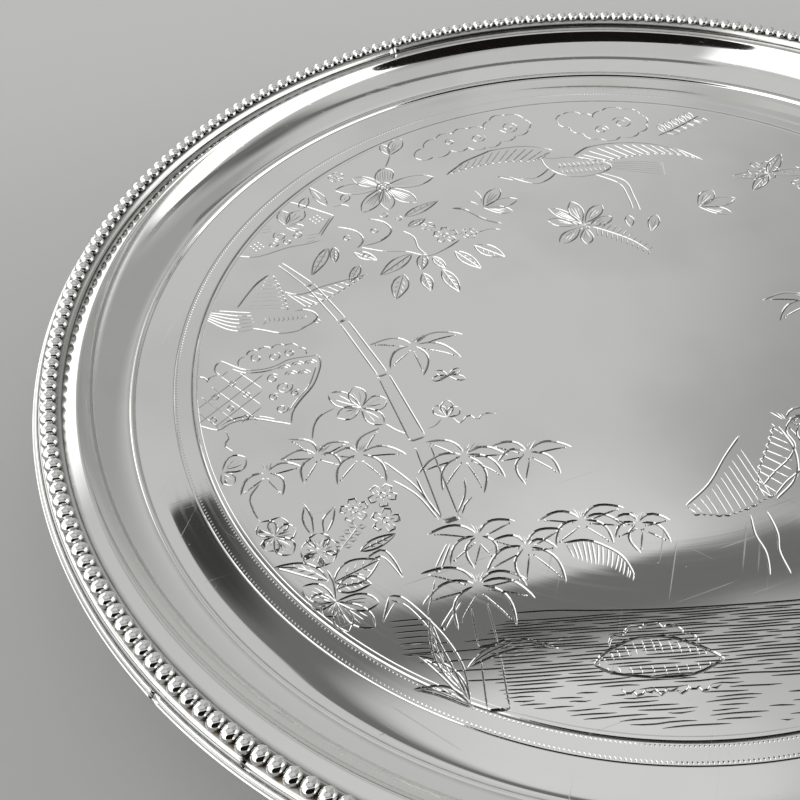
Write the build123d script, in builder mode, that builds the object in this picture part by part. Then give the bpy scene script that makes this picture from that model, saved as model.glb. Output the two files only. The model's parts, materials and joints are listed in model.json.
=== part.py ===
from build123d import *
import math
import os

# Bead-bordered silver salver on three cast feet. Millimetres, +Z up, the axis of the tray is Z
# and the soles of the feet stand on z = 0.

# Tray
foot_height = 18.0
sheet_thickness = 1.3
well_radius = 120.8
ramp_end_radius = 128.2
ramp_end_rise = 0.35
step_inner_radius = 129.2
step_inner_rise = 0.62
step_outer_radius = 130.3
step_outer_rise = 1.26
crest_radius = 141.0
crest_rise = 11.5
cavetto_turn = 56.0
flange_radius = 144.5
flange_rise = 10.3
sheet_edge_radius = 150.6

# Beaded border: three soldered lengths of 82 beads
strip_count = 3
beads_per_strip = 82
first_seam_angle = 111.6
bead_circle_radius = 147.5
bead_rise = 13.2
bead_radius = 1.86
strip_top_rise = 12.5
strip_ridge_rise = 11.5
strip_inner_radius = 144.7
strip_shoulder_radius = 145.9
strip_ridge_radius = 149.5
strip_ridge_width = 0.6
strip_outer_rise = 10.9

# Edge wire round the rim, with one butt joint
wire_butt_angle = 222.3
wire_butt_gap = 0.25
wire_reed_radius = 0.62
wire_reed_rise = 10.75
wire_lip_radius = 0.5
wire_lip_rise = 9.7
wire_bottom_rise = 8.9

# Cast scroll feet
foot_angles = (51.6, 171.6, 291.6)
foot_pad_radius = 8.5
foot_pad_thickness = 1.6
foot_pad_centre = 112.0
leg_width = 8.0
knee_roll_radius = 3.0
knee_roll_width = 11.0
knee_roll_place = (121.0, 12.3)
toe_place = 123.4
toe_radius = 6.0
toe_height = 2.4
toe_chamfer = 0.8

well_top = foot_height + sheet_thickness
strip_angle = 360.0 / strip_count


def at(radius, rise):
    """Point of a radial section, with its height measured from the surface of the well."""
    return (radius, well_top + rise)


def arc_middle(start, end, turn):
    """Middle of the arc from start to end that turns through turn degrees and sags to its right."""
    run = (end[0] - start[0], end[1] - start[1])
    sagitta = math.hypot(*run) / 2 * math.tan(math.radians(turn / 4))
    chord = math.hypot(*run)
    middle = ((start[0] + end[0]) / 2, (start[1] + end[1]) / 2)
    return (middle[0] + run[1] / chord * sagitta, middle[1] - run[0] / chord * sagitta)


def save(part, name):
    """Labels one finished piece and writes its STEP file."""
    part.label = name
    export_step(part, f"parts/{name}.step")


def raised_sheet():
    """One sheet of silver: flat well, sunk step, cavetto, crest and the flange under the border."""
    step_outer = at(step_outer_radius, step_outer_rise)
    crest = at(crest_radius, crest_rise)
    with BuildPart() as sheet:
        with BuildSketch(Plane.XZ):
            with BuildLine() as top:
                Polyline(
                    at(0, 0),
                    at(well_radius, 0),
                    at(ramp_end_radius, ramp_end_rise),
                    at(step_inner_radius, step_inner_rise),
                    step_outer,
                )
                ThreePointArc(step_outer, arc_middle(step_outer, crest, cavetto_turn), crest)
                Polyline(
                    crest,
                    at(flange_radius, flange_rise),
                    at(sheet_edge_radius, flange_rise),
                )
                offset(amount=sheet_thickness, side=Side.RIGHT, closed=True)
            make_face()
        revolve(axis=Axis.Z)
    return sheet.part


def border_strip(start_angle):
    """One length of border: a moulded strip with a cove inside, a ridge outside and its beads."""
    ridge_outer = strip_ridge_radius + strip_ridge_width
    cove_foot = at(strip_inner_radius, flange_rise)
    cove_head = at(strip_shoulder_radius, strip_top_rise)
    with BuildPart() as strip:
        with BuildSketch(Plane.XZ.rotated((0, 0, start_angle))):
            with BuildLine():
                ThreePointArc(cove_foot, arc_middle(cove_foot, cove_head, 60), cove_head)
                Polyline(
                    cove_head,
                    at(strip_ridge_radius - 0.2, strip_top_rise),
                    at(strip_ridge_radius, strip_ridge_rise),
                    at(ridge_outer, strip_ridge_rise),
                    at(ridge_outer, strip_outer_rise),
                    at(sheet_edge_radius, strip_outer_rise),
                    at(sheet_edge_radius, flange_rise),
                    cove_foot,
                )
            make_face()
        revolve(axis=Axis.Z, revolution_arc=strip_angle)
        bead_step = strip_angle / beads_per_strip
        with Locations(Location((0, 0, well_top + bead_rise))):
            with PolarLocations(
                bead_circle_radius,
                beads_per_strip,
                start_angle=start_angle + bead_step / 2,
                angular_range=strip_angle,
            ):
                Sphere(bead_radius)
    return strip.part


def reeded_wire():
    """The wire soldered round the edge: an upper reed, a lower lip and a slit at the butt joint."""
    reed_centre = sheet_edge_radius + wire_reed_radius
    lip_centre = reed_centre + wire_reed_radius
    with BuildPart() as wire:
        with BuildSketch(Plane.XZ):
            with Locations(at(reed_centre, wire_reed_rise)):
                Circle(wire_reed_radius)
            with Locations(at(lip_centre, wire_lip_rise)):
                Circle(wire_lip_radius)
            with Locations(at(sheet_edge_radius, wire_bottom_rise)):
                Rectangle(
                    lip_centre - sheet_edge_radius,
                    wire_reed_rise - wire_bottom_rise,
                    align=(Align.MIN, Align.MIN),
                )
        revolve(axis=Axis.Z)
        with Locations(Location((0, 0, 0), (0, 0, wire_butt_angle))):
            with Locations((lip_centre, 0, well_top + wire_lip_rise)):
                Box(10 * wire_reed_radius, wire_butt_gap, 10 * wire_reed_radius, mode=Mode.SUBTRACT)
    return wire.part


def scroll_foot(angle):
    """One cast foot: a soldered pad, a cabriole leg with a rolled knee and a round toe."""
    pad_bottom = foot_height - foot_pad_thickness
    radial = Plane.XZ.rotated((0, 0, angle))
    with BuildPart() as foot:
        with Locations(Location((0, 0, 0), (0, 0, angle))):
            with Locations((foot_pad_centre, 0, pad_bottom)):
                Cylinder(
                    foot_pad_radius,
                    foot_pad_thickness,
                    align=(Align.CENTER, Align.CENTER, Align.MIN),
                )
            with Locations((toe_place, 0, 0)):
                Cone(
                    toe_radius,
                    toe_radius - toe_chamfer,
                    toe_height,
                    align=(Align.CENTER, Align.CENTER, Align.MIN),
                )
        with BuildSketch(radial):
            with BuildLine():
                Spline(
                    (119.0, pad_bottom + 0.4),
                    (122.6, 12.6),
                    (120.3, 6.6),
                    (125.0, toe_height / 2),
                )
                Line((125.0, toe_height / 2), (117.6, toe_height / 2))
                Spline(
                    (117.6, toe_height / 2),
                    (115.4, 6.4),
                    (111.4, 12.6),
                    (105.6, pad_bottom + 0.4),
                )
                Line((105.6, pad_bottom + 0.4), (119.0, pad_bottom + 0.4))
            make_face()
        extrude(amount=leg_width / 2, both=True)
        with BuildSketch(radial):
            with Locations(knee_roll_place):
                Circle(knee_roll_radius)
        extrude(amount=knee_roll_width / 2, both=True)
    return foot.part


os.makedirs("parts", exist_ok=True)
save(raised_sheet(), "salver_plate")
for number in range(strip_count):
    save(border_strip(first_seam_angle + number * strip_angle), f"bead_strip_{number + 1}")
save(reeded_wire(), "edge_wire")
for number, angle in enumerate(foot_angles, start=1):
    save(scroll_foot(angle), f"foot_{number}")
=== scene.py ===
import json
import math

import bpy
import numpy as np
from mathutils import Euler, Matrix, Vector
from mathutils.geometry import delaunay_2d_cdt

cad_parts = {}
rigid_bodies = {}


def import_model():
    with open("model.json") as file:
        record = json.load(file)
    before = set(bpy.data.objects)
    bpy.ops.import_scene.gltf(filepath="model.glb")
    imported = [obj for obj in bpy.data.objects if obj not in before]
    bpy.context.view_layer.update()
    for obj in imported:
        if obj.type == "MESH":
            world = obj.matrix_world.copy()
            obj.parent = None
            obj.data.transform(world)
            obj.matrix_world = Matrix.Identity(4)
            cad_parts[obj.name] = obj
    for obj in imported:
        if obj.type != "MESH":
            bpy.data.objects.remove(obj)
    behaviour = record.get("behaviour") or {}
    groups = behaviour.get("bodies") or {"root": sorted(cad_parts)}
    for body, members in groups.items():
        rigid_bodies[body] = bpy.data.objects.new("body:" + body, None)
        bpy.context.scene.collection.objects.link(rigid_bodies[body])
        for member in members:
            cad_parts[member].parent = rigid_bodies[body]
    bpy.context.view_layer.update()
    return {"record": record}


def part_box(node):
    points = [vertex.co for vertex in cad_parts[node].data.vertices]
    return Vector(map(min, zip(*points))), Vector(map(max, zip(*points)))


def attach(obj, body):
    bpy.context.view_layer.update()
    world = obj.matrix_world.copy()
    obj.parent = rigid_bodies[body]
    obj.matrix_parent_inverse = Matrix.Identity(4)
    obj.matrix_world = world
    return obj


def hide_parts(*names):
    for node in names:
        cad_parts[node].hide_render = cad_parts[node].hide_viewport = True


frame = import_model()

# Everything below is worked out in millimetres from the centre of the well's upper face,
# and turned into metres when a piece is made.
MM = 0.001
well_mount = [m for m in frame["record"]["mounts"] if m["name"] == "well_surface"][0]
WELL_TOP = well_mount["pos_m"][2] / MM
SHEET_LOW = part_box("salver_plate")[0][2] / MM
SHEET_THICKNESS = WELL_TOP - SHEET_LOW
SHEET_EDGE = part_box("salver_plate")[1][0] / MM

# Section of the sheet: radius and rise above the well
WELL_RADIUS = 120.8
RAMP_END = (128.2, 0.14)
STEP_FOOT = (129.25, 0.30)
STEP_LIP = (129.72, 1.10)
STEP_OUTER = (130.5, 1.10)
CREST = (141.0, 11.5)
CAVETTO_TURN = math.radians(56.0)
FLANGE = (144.6, 10.9)

# Beaded border
STRIP_COUNT = 3
BEADS_PER_STRIP = 82
FIRST_SEAM = 111.6
BEAD_CIRCLE = 147.5
BEAD_RISE = 13.2
BEAD_HALF_WIDTH = 2.12
BEAD_HALF_LENGTH = 1.87
BEAD_HALF_HEIGHT = 1.80
BEAD_SIDES = 14

# Edge wire
WIRE_BUTT = 222.3

ROUND_STEPS = 480


# ------------------------------------------------------------------ mesh building

def grid_faces(rows, columns, closed=False, first=0):
    """Quads of a grid of points stored row by row; closed joins the last column to the first."""
    row = np.arange(rows - 1)[:, None] * columns
    column = np.arange(columns if closed else columns - 1)[None, :]
    after = (column + 1) % columns
    quads = np.stack([row + column, row + after, row + columns + after, row + columns + column], -1)
    return quads.reshape(-1, 4) + first


def build_mesh(name, points, face_sets):
    """Makes a mesh from an array of points in millimetres and a list of (faces, smooth) arrays."""
    counts = np.concatenate([np.full(len(faces), faces.shape[1]) for faces, _ in face_sets])
    corners = np.concatenate([faces.ravel() for faces, _ in face_sets]).astype(np.int32)
    flags = np.concatenate([np.full(len(faces), soft) for faces, soft in face_sets])
    mesh = bpy.data.meshes.new(name)
    mesh.vertices.add(len(points))
    mesh.vertices.foreach_set("co", (np.asarray(points) * MM).astype(np.float32).ravel())
    mesh.loops.add(len(corners))
    mesh.loops.foreach_set("vertex_index", corners)
    mesh.polygons.add(len(counts))
    starts = np.concatenate([[0], np.cumsum(counts)[:-1]]).astype(np.int32)
    mesh.polygons.foreach_set("loop_start", starts)
    mesh.update(calc_edges=True)
    mesh.polygons.foreach_set("use_smooth", flags.astype(bool))
    mesh.validate()
    mesh.update()
    return mesh


def add_piece(mesh, material, slot, *nodes):
    """Links a finished mesh as a piece of the one rigid body and hides the solids it stands for."""
    piece = bpy.data.objects.new(mesh.name, mesh)
    bpy.context.scene.collection.objects.link(piece)
    mesh.materials.append(material)
    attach(piece, "root")
    if nodes:
        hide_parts(*nodes)
    return piece


def set_attribute(mesh, name, values):
    """Stores one number for each point, which a material reads by name."""
    attribute = mesh.attributes.new(name, "FLOAT", "POINT")
    attribute.data.foreach_set("value", np.asarray(values, dtype=np.float32))


def revolve(section, angles):
    """Points of a section (radius, rise) carried round the axis: row by row, one row for a point."""
    radius, rise = section[:, 0:1], section[:, 1:2]
    x = radius * np.cos(angles)
    y = radius * np.sin(angles)
    z = np.broadcast_to(rise + WELL_TOP, x.shape)
    return np.stack([x, y, z], -1).reshape(-1, 3)


def arc(start, end, turn, count):
    """Points of a circular arc from start to end whose heading rises by turn on the way: the radius is
    half the chord over the sine of half the turn, and equal steps of heading give equal steps of arc."""
    start, end = np.array(start), np.array(end)
    chord = end - start
    radius = np.hypot(*chord) / 2 / math.sin(turn / 2)
    heading = math.atan2(chord[1], chord[0]) - turn / 2
    angle = heading + np.linspace(0, turn, count)
    x = start[0] + radius * (np.sin(angle) - math.sin(heading))
    y = start[1] - radius * (np.cos(angle) - math.cos(heading))
    return np.stack([x, y], 1)


def line(start, end, count):
    """Evenly spaced points of a straight line, both ends included."""
    return np.linspace(start, end, count)


# ------------------------------------------------------------------ materials

class NodeMaths:
    """Small helper that adds Math nodes to a tree and returns their output sockets."""

    def __init__(self, tree):
        """Works in one material's, group's or world's tree."""
        self.tree = tree

    def __call__(self, operation, *values):
        """Adds one Math node; each value is a number or another node's socket."""
        node = self.tree.nodes.new("ShaderNodeMath")
        node.operation = operation
        for socket, value in zip(node.inputs, values):
            if isinstance(value, (int, float)):
                socket.default_value = value
            else:
                self.tree.links.new(value, socket)
        return node.outputs[0]

    def smooth(self, value, low, high):
        """0 below low, 1 above high and a smooth step between."""
        node = self.tree.nodes.new("ShaderNodeMapRange")
        node.interpolation_type = "SMOOTHSTEP"
        self.tree.links.new(value, node.inputs["Value"])
        node.inputs["From Min"].default_value = low
        node.inputs["From Max"].default_value = high
        return node.outputs["Result"]

    def noise(self, vector, scale, detail=2.0):
        """Noise of a position, from 0 to 1."""
        node = self.tree.nodes.new("ShaderNodeTexNoise")
        node.inputs["Scale"].default_value = scale
        node.inputs["Detail"].default_value = detail
        self.tree.links.new(vector, node.inputs["Vector"])
        return node.outputs["Fac"]

    def stretched(self, vector, turn, stretch):
        """A position turned about the upright axis and squeezed along one way, for long thin marks."""
        node = self.tree.nodes.new("ShaderNodeMapping")
        node.vector_type = "TEXTURE"
        node.inputs["Rotation"].default_value = (0, 0, math.radians(turn))
        node.inputs["Scale"].default_value = stretch
        self.tree.links.new(vector, node.inputs["Vector"])
        return node.outputs["Vector"]


def new_group(name, inputs, outputs):
    """An empty shader node group with named sockets; gives the group and its input and output nodes."""
    group = bpy.data.node_groups.new(name, "ShaderNodeTree")
    for label, kind, value in inputs:
        socket = group.interface.new_socket(label, in_out="INPUT", socket_type=kind)
        if value is not None:
            socket.default_value = value
    for label, kind in outputs:
        group.interface.new_socket(label, in_out="OUTPUT", socket_type=kind)
    return group, group.nodes.new("NodeGroupInput"), group.nodes.new("NodeGroupOutput")


def scratches_group():
    """Hair scratches in three directions and small specks: thin crests of stretched noise, and the
    cores of scattered cells. Mask is 1 in a mark; Height falls in it."""
    group, given, made = new_group(
        "hair_scratches",
        (("Position", "NodeSocketVector", None), ("Scratches", "NodeSocketFloat", 1.0),
         ("Specks", "NodeSocketFloat", 1.0)),
        (("Mask", "NodeSocketFloat"), ("Height", "NodeSocketFloat")))
    maths = NodeMaths(group)
    position = given.outputs["Position"]
    total = None
    for turn, scale in ((17, 1400.0), (-38, 1700.0), (71, 1250.0)):
        long_marks = maths.noise(maths.stretched(position, turn, (60.0, 1.0, 1.0)), scale, 1.0)
        where = maths.noise(maths.stretched(position, turn + 25, (3.0, 1.0, 1.0)), 70.0, 1.0)
        mark = maths("MULTIPLY", maths.smooth(long_marks, 0.70, 0.76), maths.smooth(where, 0.48, 0.60))
        total = mark if total is None else maths("MAXIMUM", total, mark)
    cells = group.nodes.new("ShaderNodeTexVoronoi")
    cells.inputs["Scale"].default_value = 190.0
    group.links.new(position, cells.inputs["Vector"])
    speck = maths("SUBTRACT", 1.0, maths.smooth(cells.outputs["Distance"], 0.020, 0.045))
    some = maths.smooth(maths.noise(position, 95.0, 0.0), 0.50, 0.58)
    speck = maths("MULTIPLY", maths("MULTIPLY", speck, some), given.outputs["Specks"])
    mask = maths("MAXIMUM", maths("MULTIPLY", total, given.outputs["Scratches"]), speck)
    group.links.new(mask, made.inputs["Mask"])
    group.links.new(maths("SUBTRACT", 1.0, mask), made.inputs["Height"])
    return group


def tarnish_group():
    """Colour and roughness of silver: dull where Depth is near 1, broken up by noise, with a thin film
    in slow patches elsewhere. Mask is the share of tarnish."""
    group, given, made = new_group(
        "tarnish",
        (("Position", "NodeSocketVector", None), ("Depth", "NodeSocketFloat", 0.0),
         ("Strength", "NodeSocketFloat", 1.0),
         ("Film", "NodeSocketFloat", 0.1), ("Bright", "NodeSocketColor", (0.90, 0.90, 0.88, 1)),
         ("Dull", "NodeSocketColor", (0.2, 0.18, 0.15, 1)), ("Polish", "NodeSocketFloat", 0.05)),
        (("Colour", "NodeSocketColor"), ("Roughness", "NodeSocketFloat"), ("Mask", "NodeSocketFloat")))
    maths = NodeMaths(group)
    position = given.outputs["Position"]
    patchy = maths("ADD", 0.6, maths("MULTIPLY", maths.noise(position, 260.0, 3.0), 0.8))
    deep = maths("POWER", given.outputs["Depth"], 1.5)
    mask = maths("MULTIPLY", maths("MULTIPLY", deep, given.outputs["Strength"]), patchy)
    film = maths("MULTIPLY", maths.smooth(maths.noise(position, 22.0, 3.0), 0.42, 0.72),
                 given.outputs["Film"])
    mask = maths("MINIMUM", maths("MAXIMUM", mask, film), 1.0)
    mix = group.nodes.new("ShaderNodeMix")
    mix.data_type = "RGBA"
    group.links.new(mask, mix.inputs["Factor"])
    group.links.new(given.outputs["Bright"], mix.inputs[6])
    group.links.new(given.outputs["Dull"], mix.inputs[7])
    group.links.new(mix.outputs[2], made.inputs["Colour"])
    rough = maths("ADD", given.outputs["Polish"], maths("MULTIPLY", mask, 0.34))
    group.links.new(rough, made.inputs["Roughness"])
    group.links.new(mask, made.inputs["Mask"])
    return group


def turning_group():
    """Marks that run round the upright axis, as from spinning and polishing: noise of the distance
    from the axis and, far more slowly, of the turn about it."""
    group, given, made = new_group(
        "turning_marks", (("Position", "NodeSocketVector", None), ("Fineness", "NodeSocketFloat", 900.0)),
        (("Mask", "NodeSocketFloat"), ("Height", "NodeSocketFloat")))
    maths = NodeMaths(group)
    split = group.nodes.new("ShaderNodeSeparateXYZ")
    group.links.new(given.outputs["Position"], split.inputs[0])
    x, y = split.outputs[0], split.outputs[1]
    distance = maths("SQRT", maths("ADD", maths("MULTIPLY", x, x), maths("MULTIPLY", y, y)))
    joined = group.nodes.new("ShaderNodeCombineXYZ")
    group.links.new(maths("MULTIPLY", distance, given.outputs["Fineness"]), joined.inputs[0])
    group.links.new(maths("MULTIPLY", x, 22.0), joined.inputs[1])
    group.links.new(maths("MULTIPLY", y, 22.0), joined.inputs[2])
    fine = maths.noise(joined.outputs[0], 1.0, 3.0)
    group.links.new(maths.smooth(fine, 0.5, 0.75), made.inputs["Mask"])
    group.links.new(fine, made.inputs["Height"])
    return group


groups = {}


def place_group(tree, name, build, **values):
    """Puts a node group in a material, building it the first time, and sets its inputs."""
    if name not in groups:
        groups[name] = build()
    node = tree.nodes.new("ShaderNodeGroup")
    node.node_tree = groups[name]
    for label, value in values.items():
        node.inputs[label].default_value = value
    return node


def bump(tree, height, distance, normal=None):
    """A Bump node fed by a height, chained after another one when given."""
    node = tree.nodes.new("ShaderNodeBump")
    node.inputs["Distance"].default_value = distance
    tree.links.new(height, node.inputs["Height"])
    if normal is not None:
        tree.links.new(normal, node.inputs["Normal"])
    return node.outputs["Normal"]


def silver(name, attribute="", bright=(0.90, 0.90, 0.885), dull=(0.24, 0.22, 0.19), strength=0.9, film=0.10,
           polish=0.05, scratches=0.7, specks=0.6, turned=0.0, unevenness=0.00003, fineness=900.0):
    """Polished sterling: bright metal, tarnish where the named attribute is deep, a faint uneven film,
    hair scratches, marks of turning and a slight hammered unevenness."""
    material = bpy.data.materials.new(name)
    material.use_nodes = True
    tree = material.node_tree
    maths = NodeMaths(tree)
    shader = tree.nodes["Principled BSDF"]
    shader.inputs["Metallic"].default_value = 1.0
    position = tree.nodes.new("ShaderNodeTexCoord").outputs["Object"]
    tarnish = place_group(tree, "tarnish", tarnish_group, Strength=strength, Film=film, Bright=(*bright, 1),
                          Dull=(*dull, 1), Polish=polish)
    tree.links.new(position, tarnish.inputs["Position"])
    if attribute:
        stored = tree.nodes.new("ShaderNodeAttribute")
        stored.attribute_name = attribute
        tree.links.new(stored.outputs["Fac"], tarnish.inputs["Depth"])
    marks = place_group(tree, "hair_scratches", scratches_group, Scratches=scratches, Specks=specks)
    tree.links.new(position, marks.inputs["Position"])
    turning = place_group(tree, "turning_marks", turning_group, Fineness=fineness)
    tree.links.new(position, turning.inputs["Position"])
    tree.links.new(tarnish.outputs["Colour"], shader.inputs["Base Color"])
    rough = maths("ADD", tarnish.outputs["Roughness"], maths("MULTIPLY", marks.outputs["Mask"], 0.22))
    rough = maths("ADD", rough, maths("MULTIPLY", turning.outputs["Mask"], 0.12 * turned))
    tree.links.new(rough, shader.inputs["Roughness"])
    normal = bump(tree, maths.noise(position, 34.0, 1.0), unevenness)
    if turned:
        normal = bump(tree, turning.outputs["Height"], 0.0000045 * turned, normal)
    normal = bump(tree, marks.outputs["Height"], 0.000004, normal)
    tree.links.new(normal, shader.inputs["Normal"])
    return material


# ------------------------------------------------------------------ the graver's cuts

def smooth_path(points, pitch, lead=0.0):
    """Catmull-Rom curve through the points, resampled at an even pitch, with extra points a lead away
    from both ends; gives points and lengths."""
    p = np.asarray(points, dtype=float)
    if len(p) > 2:
        padded = np.vstack([2 * p[0] - p[1], p, 2 * p[-1] - p[-2]])
        a, b, c, d = (padded[k:len(p) - 1 + k, None] for k in range(4))
        t = np.linspace(0, 1, 9)[None, :-1, None]
        curve = b + 0.5 * ((c - a) * t + (2 * a - 5 * b + 4 * c - d) * t**2 + (3 * b - a - 3 * c + d) * t**3)
        p = np.vstack([curve.reshape(-1, 2), p[-1:]])
    length = np.concatenate([[0], np.cumsum(np.hypot(*np.diff(p, axis=0).T))])
    total = length[-1]
    along = np.linspace(0, total, max(3, round(total / pitch) + 1))
    if lead and pitch > lead and total > 3 * lead:
        along = np.unique(np.concatenate([along, [lead * 0.4, lead, total - lead, total - lead * 0.4]]))
        along = along[np.concatenate([[True], np.diff(along) > 0.1])]
        along[-1] = total
    return np.stack([np.interp(along, length, p[:, 0]), np.interp(along, length, p[:, 1])], 1), along


def sideways(path):
    """Unit vectors to the left of a path at each of its points."""
    run = np.gradient(path, axis=0)
    run /= np.hypot(run[:, 0], run[:, 1])[:, None]
    return np.stack([-run[:, 1], run[:, 0]], 1)


def blend_paths(first, second, share):
    """Points of the curve that lies a share of the way from one path to another."""
    a, _ = smooth_path(first, 0.5)
    b, _ = smooth_path(second, 0.5)
    t = np.linspace(0, 1, 9)
    at = [np.stack([np.interp(t, np.linspace(0, 1, len(c)), c[:, k]) for k in (0, 1)], 1) for c in (a, b)]
    return at[0] * (1 - share) + at[1] * share


# Every cut is this much wider and deeper than its motif asks for
WIDEN = 1.15
DEEPEN = 2.1


class Engraving:
    """Collects every cut in the well: V-shaped lines, closed rings and small pits. A line is an array
    with a row of x, y, half width and depth for each of its points."""

    def __init__(self):
        """Starts with a plain well and its own row of random draws."""
        self.lines = []
        self.rings = []
        self.pits = []
        self.luck = np.random.default_rng(7)

    def cut(self, points, width=0.5, depth=0.12, lead=1.6, pitch=1.35):
        """A smooth line that swells from a point, runs at its full width and ends in a point."""
        path, along = smooth_path(points, pitch, min(lead, 1.2))
        total = along[-1]
        near_end = np.clip(np.minimum(along, total - along) / min(lead, total * 0.45), 0, 1)
        share = np.where(near_end > 0, 0.25 + 0.75 * near_end**0.8, 0.0)
        self.lines.append(np.column_stack([path, share * width * WIDEN / 2, share * depth * DEEPEN]))

    def ring(self, radius, width, depth, count):
        """A closed circle round the middle of the well."""
        self.rings.append((radius, width, depth, count))

    def wriggle(self, points, width=0.9, pitch=0.9, depth=0.13, lean=25.0):
        """A rocked cut: a fine line crossed by a row of short pits, leaning one way and then the other."""
        path, _ = smooth_path(points, pitch)
        self.cut(points, 0.4, 0.12, pitch=2.4)
        across = sideways(path)
        sway = np.radians(lean) * np.where(np.arange(len(path)) % 2, 1, -1)
        turned = np.stack([across[:, 0] * np.cos(sway) - across[:, 1] * np.sin(sway),
                           across[:, 0] * np.sin(sway) + across[:, 1] * np.cos(sway)], 1)
        long_way = turned * width / 2
        short_way = np.stack([-turned[:, 1], turned[:, 0]], 1) * pitch * 0.36
        self.pits.append((path, long_way, short_way, np.full(len(path), depth * DEEPEN)))

    def stroke_fan(self, centre, directions, length, width=0.3):
        """Short straight strokes out of one place, one for each direction in degrees."""
        for direction in directions:
            a = math.radians(direction)
            reach = length * (0.75 + 0.25 * math.sin(3 * a))
            start = (centre[0] + 0.25 * reach * math.cos(a), centre[1] + 0.25 * reach * math.sin(a))
            end = (centre[0] + reach * math.cos(a), centre[1] + reach * math.sin(a))
            self.cut([start, end], width, 0.07, pitch=3.0)


def leaf(e, base, tip, width=3.0, bow=0.12, bold=0.62):
    """A lance-shaped leaf: a bold upper edge, a rocked lower edge and no middle vein."""
    base, tip = np.array(base), np.array(tip)
    run = tip - base
    side = np.array([-run[1], run[0]]) / np.hypot(*run)
    if side[1] < 0 or (abs(side[1]) < 0.3 and run[1] < 0 and side[0] < 0):
        side = -side
    t = np.linspace(0.05, 1, 7)[:, None]
    swell = np.sin(np.pi * np.clip(t, 0, 1) ** 0.75)
    middle = base + run * t + side * np.sin(np.pi * t) * bow * np.hypot(*run)
    e.cut(middle + side * swell * width / 2, bold, 0.15)
    e.wriggle((middle - side * swell * width / 2)[1:-1], 0.75)


def leaf_cluster(e, centre, tips, tuft=(), width=3.0):
    """Pointed leaves hanging from one joint, with a tuft of short strokes above it."""
    for tip in tips:
        leaf(e, centre, tip, width)
    if tuft:
        e.stroke_fan(centre, tuft, 6.0)


def stem(e, start, end, first_width, last_width, rocked=""):
    """One length of cane: two edges along a line, each plain or rocked, and a thick joint at its foot."""
    start, end = np.array(start), np.array(end)
    run = end - start
    side = np.array([-run[1], run[0]]) / np.hypot(*run)
    for name, sign in (("left", -1), ("right", 1)):
        edge = [start + side * sign * first_width / 2, end + side * sign * last_width / 2]
        if name in rocked:
            e.wriggle(edge, 0.6, 0.95)
        else:
            e.cut(edge, 0.5, 0.12, pitch=4.0)
    joint = end + run / np.hypot(*run) * 0.4
    e.cut([joint - side * last_width * 0.52, joint + side * last_width * 0.52], 0.8, 0.16, 0.8, 0.8)


def petal(e, base, tip, width, veins=3, bold=0.45):
    """A rounded petal or leaf: two bowed edges that meet at both ends, and veins fanned from its base."""
    base, tip = np.array(base), np.array(tip)
    run = tip - base
    side = np.array([-run[1], run[0]]) / np.hypot(*run)
    t = np.linspace(0, 1, 7)[:, None]
    swell = np.sin(np.pi * t**1.25) ** 0.8 * width / 2
    for sign in (-1, 1):
        e.cut(base + run * t + side * sign * swell, bold, 0.12, pitch=1.2)
    for vein in range(veins):
        off = (vein - (veins - 1) / 2) / max(veins, 1)
        end = base + run * 0.72 + side * off * width * 0.7
        e.cut([base + run * 0.18, base + run * 0.45 + side * off * width * 0.5, end], 0.26, 0.07, pitch=2.0)


def veined_leaf(e, base, tip, width, bow=0.0):
    """A broad leaf: two outlines, a bowed midrib and short side veins leaning to the tip."""
    base, tip = np.array(base), np.array(tip)
    run = tip - base
    side = np.array([-run[1], run[0]]) / np.hypot(*run)
    t = np.linspace(0, 1, 7)[:, None]
    middle = base + run * t + side * np.sin(np.pi * t) * bow * np.hypot(*run)
    swell = np.sin(np.pi * t**0.85) * width / 2
    for sign in (-1, 1):
        e.cut(middle + side * sign * swell, 0.5, 0.13)
        for share in (0.25, 0.42, 0.6):
            start = base + run * share + side * math.sin(math.pi * share) * bow * np.hypot(*run)
            e.cut([start, start + run * 0.16 + side * sign * width * 0.3], 0.28, 0.07, pitch=2.0)
    e.cut(middle, 0.35, 0.09)


def blossom(e, centre, radius, petals=5, turn=0.0, core=0.22, notched=True):
    """A small open flower: round petals about a ring of dots, each petal with a notch in its edge."""
    cx, cy = centre
    for k in range(petals):
        middle = math.radians(turn + 360 / petals * k)
        spread = math.pi / petals * 0.86
        a = middle + np.linspace(-spread, spread, 7)
        bulge = np.array([0.48, 0.82, 0.98, 0.9 if notched else 1.04, 0.98, 0.82, 0.48]) * radius
        e.cut(np.stack([cx + bulge * np.cos(a), cy + bulge * np.sin(a)], 1), 0.45, 0.12, pitch=1.0)
        inner = (cx + core * radius * math.cos(middle), cy + core * radius * math.sin(middle))
        outer = (cx + 0.62 * radius * math.cos(middle), cy + 0.62 * radius * math.sin(middle))
        e.cut([inner, outer], 0.26, 0.06, pitch=2.0)
    a = np.linspace(0, 2 * math.pi, 9)
    e.cut(np.stack([cx + core * radius * np.cos(a), cy + core * radius * np.sin(a)], 1),
          0.35, 0.09, 0.3, 0.6)


def spiral(e, centre, radius, turns=1.4, start=0.0, sense=1, width=0.4):
    """A scroll that winds inward from its outer radius to a small eye."""
    t = np.linspace(0, 1, 14)
    a = math.radians(start) + sense * 2 * math.pi * turns * t
    r = radius * (1 - 0.82 * t)
    e.cut(np.stack([centre[0] + r * np.cos(a), centre[1] + r * np.sin(a)], 1), width, 0.1, pitch=0.7)


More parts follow.
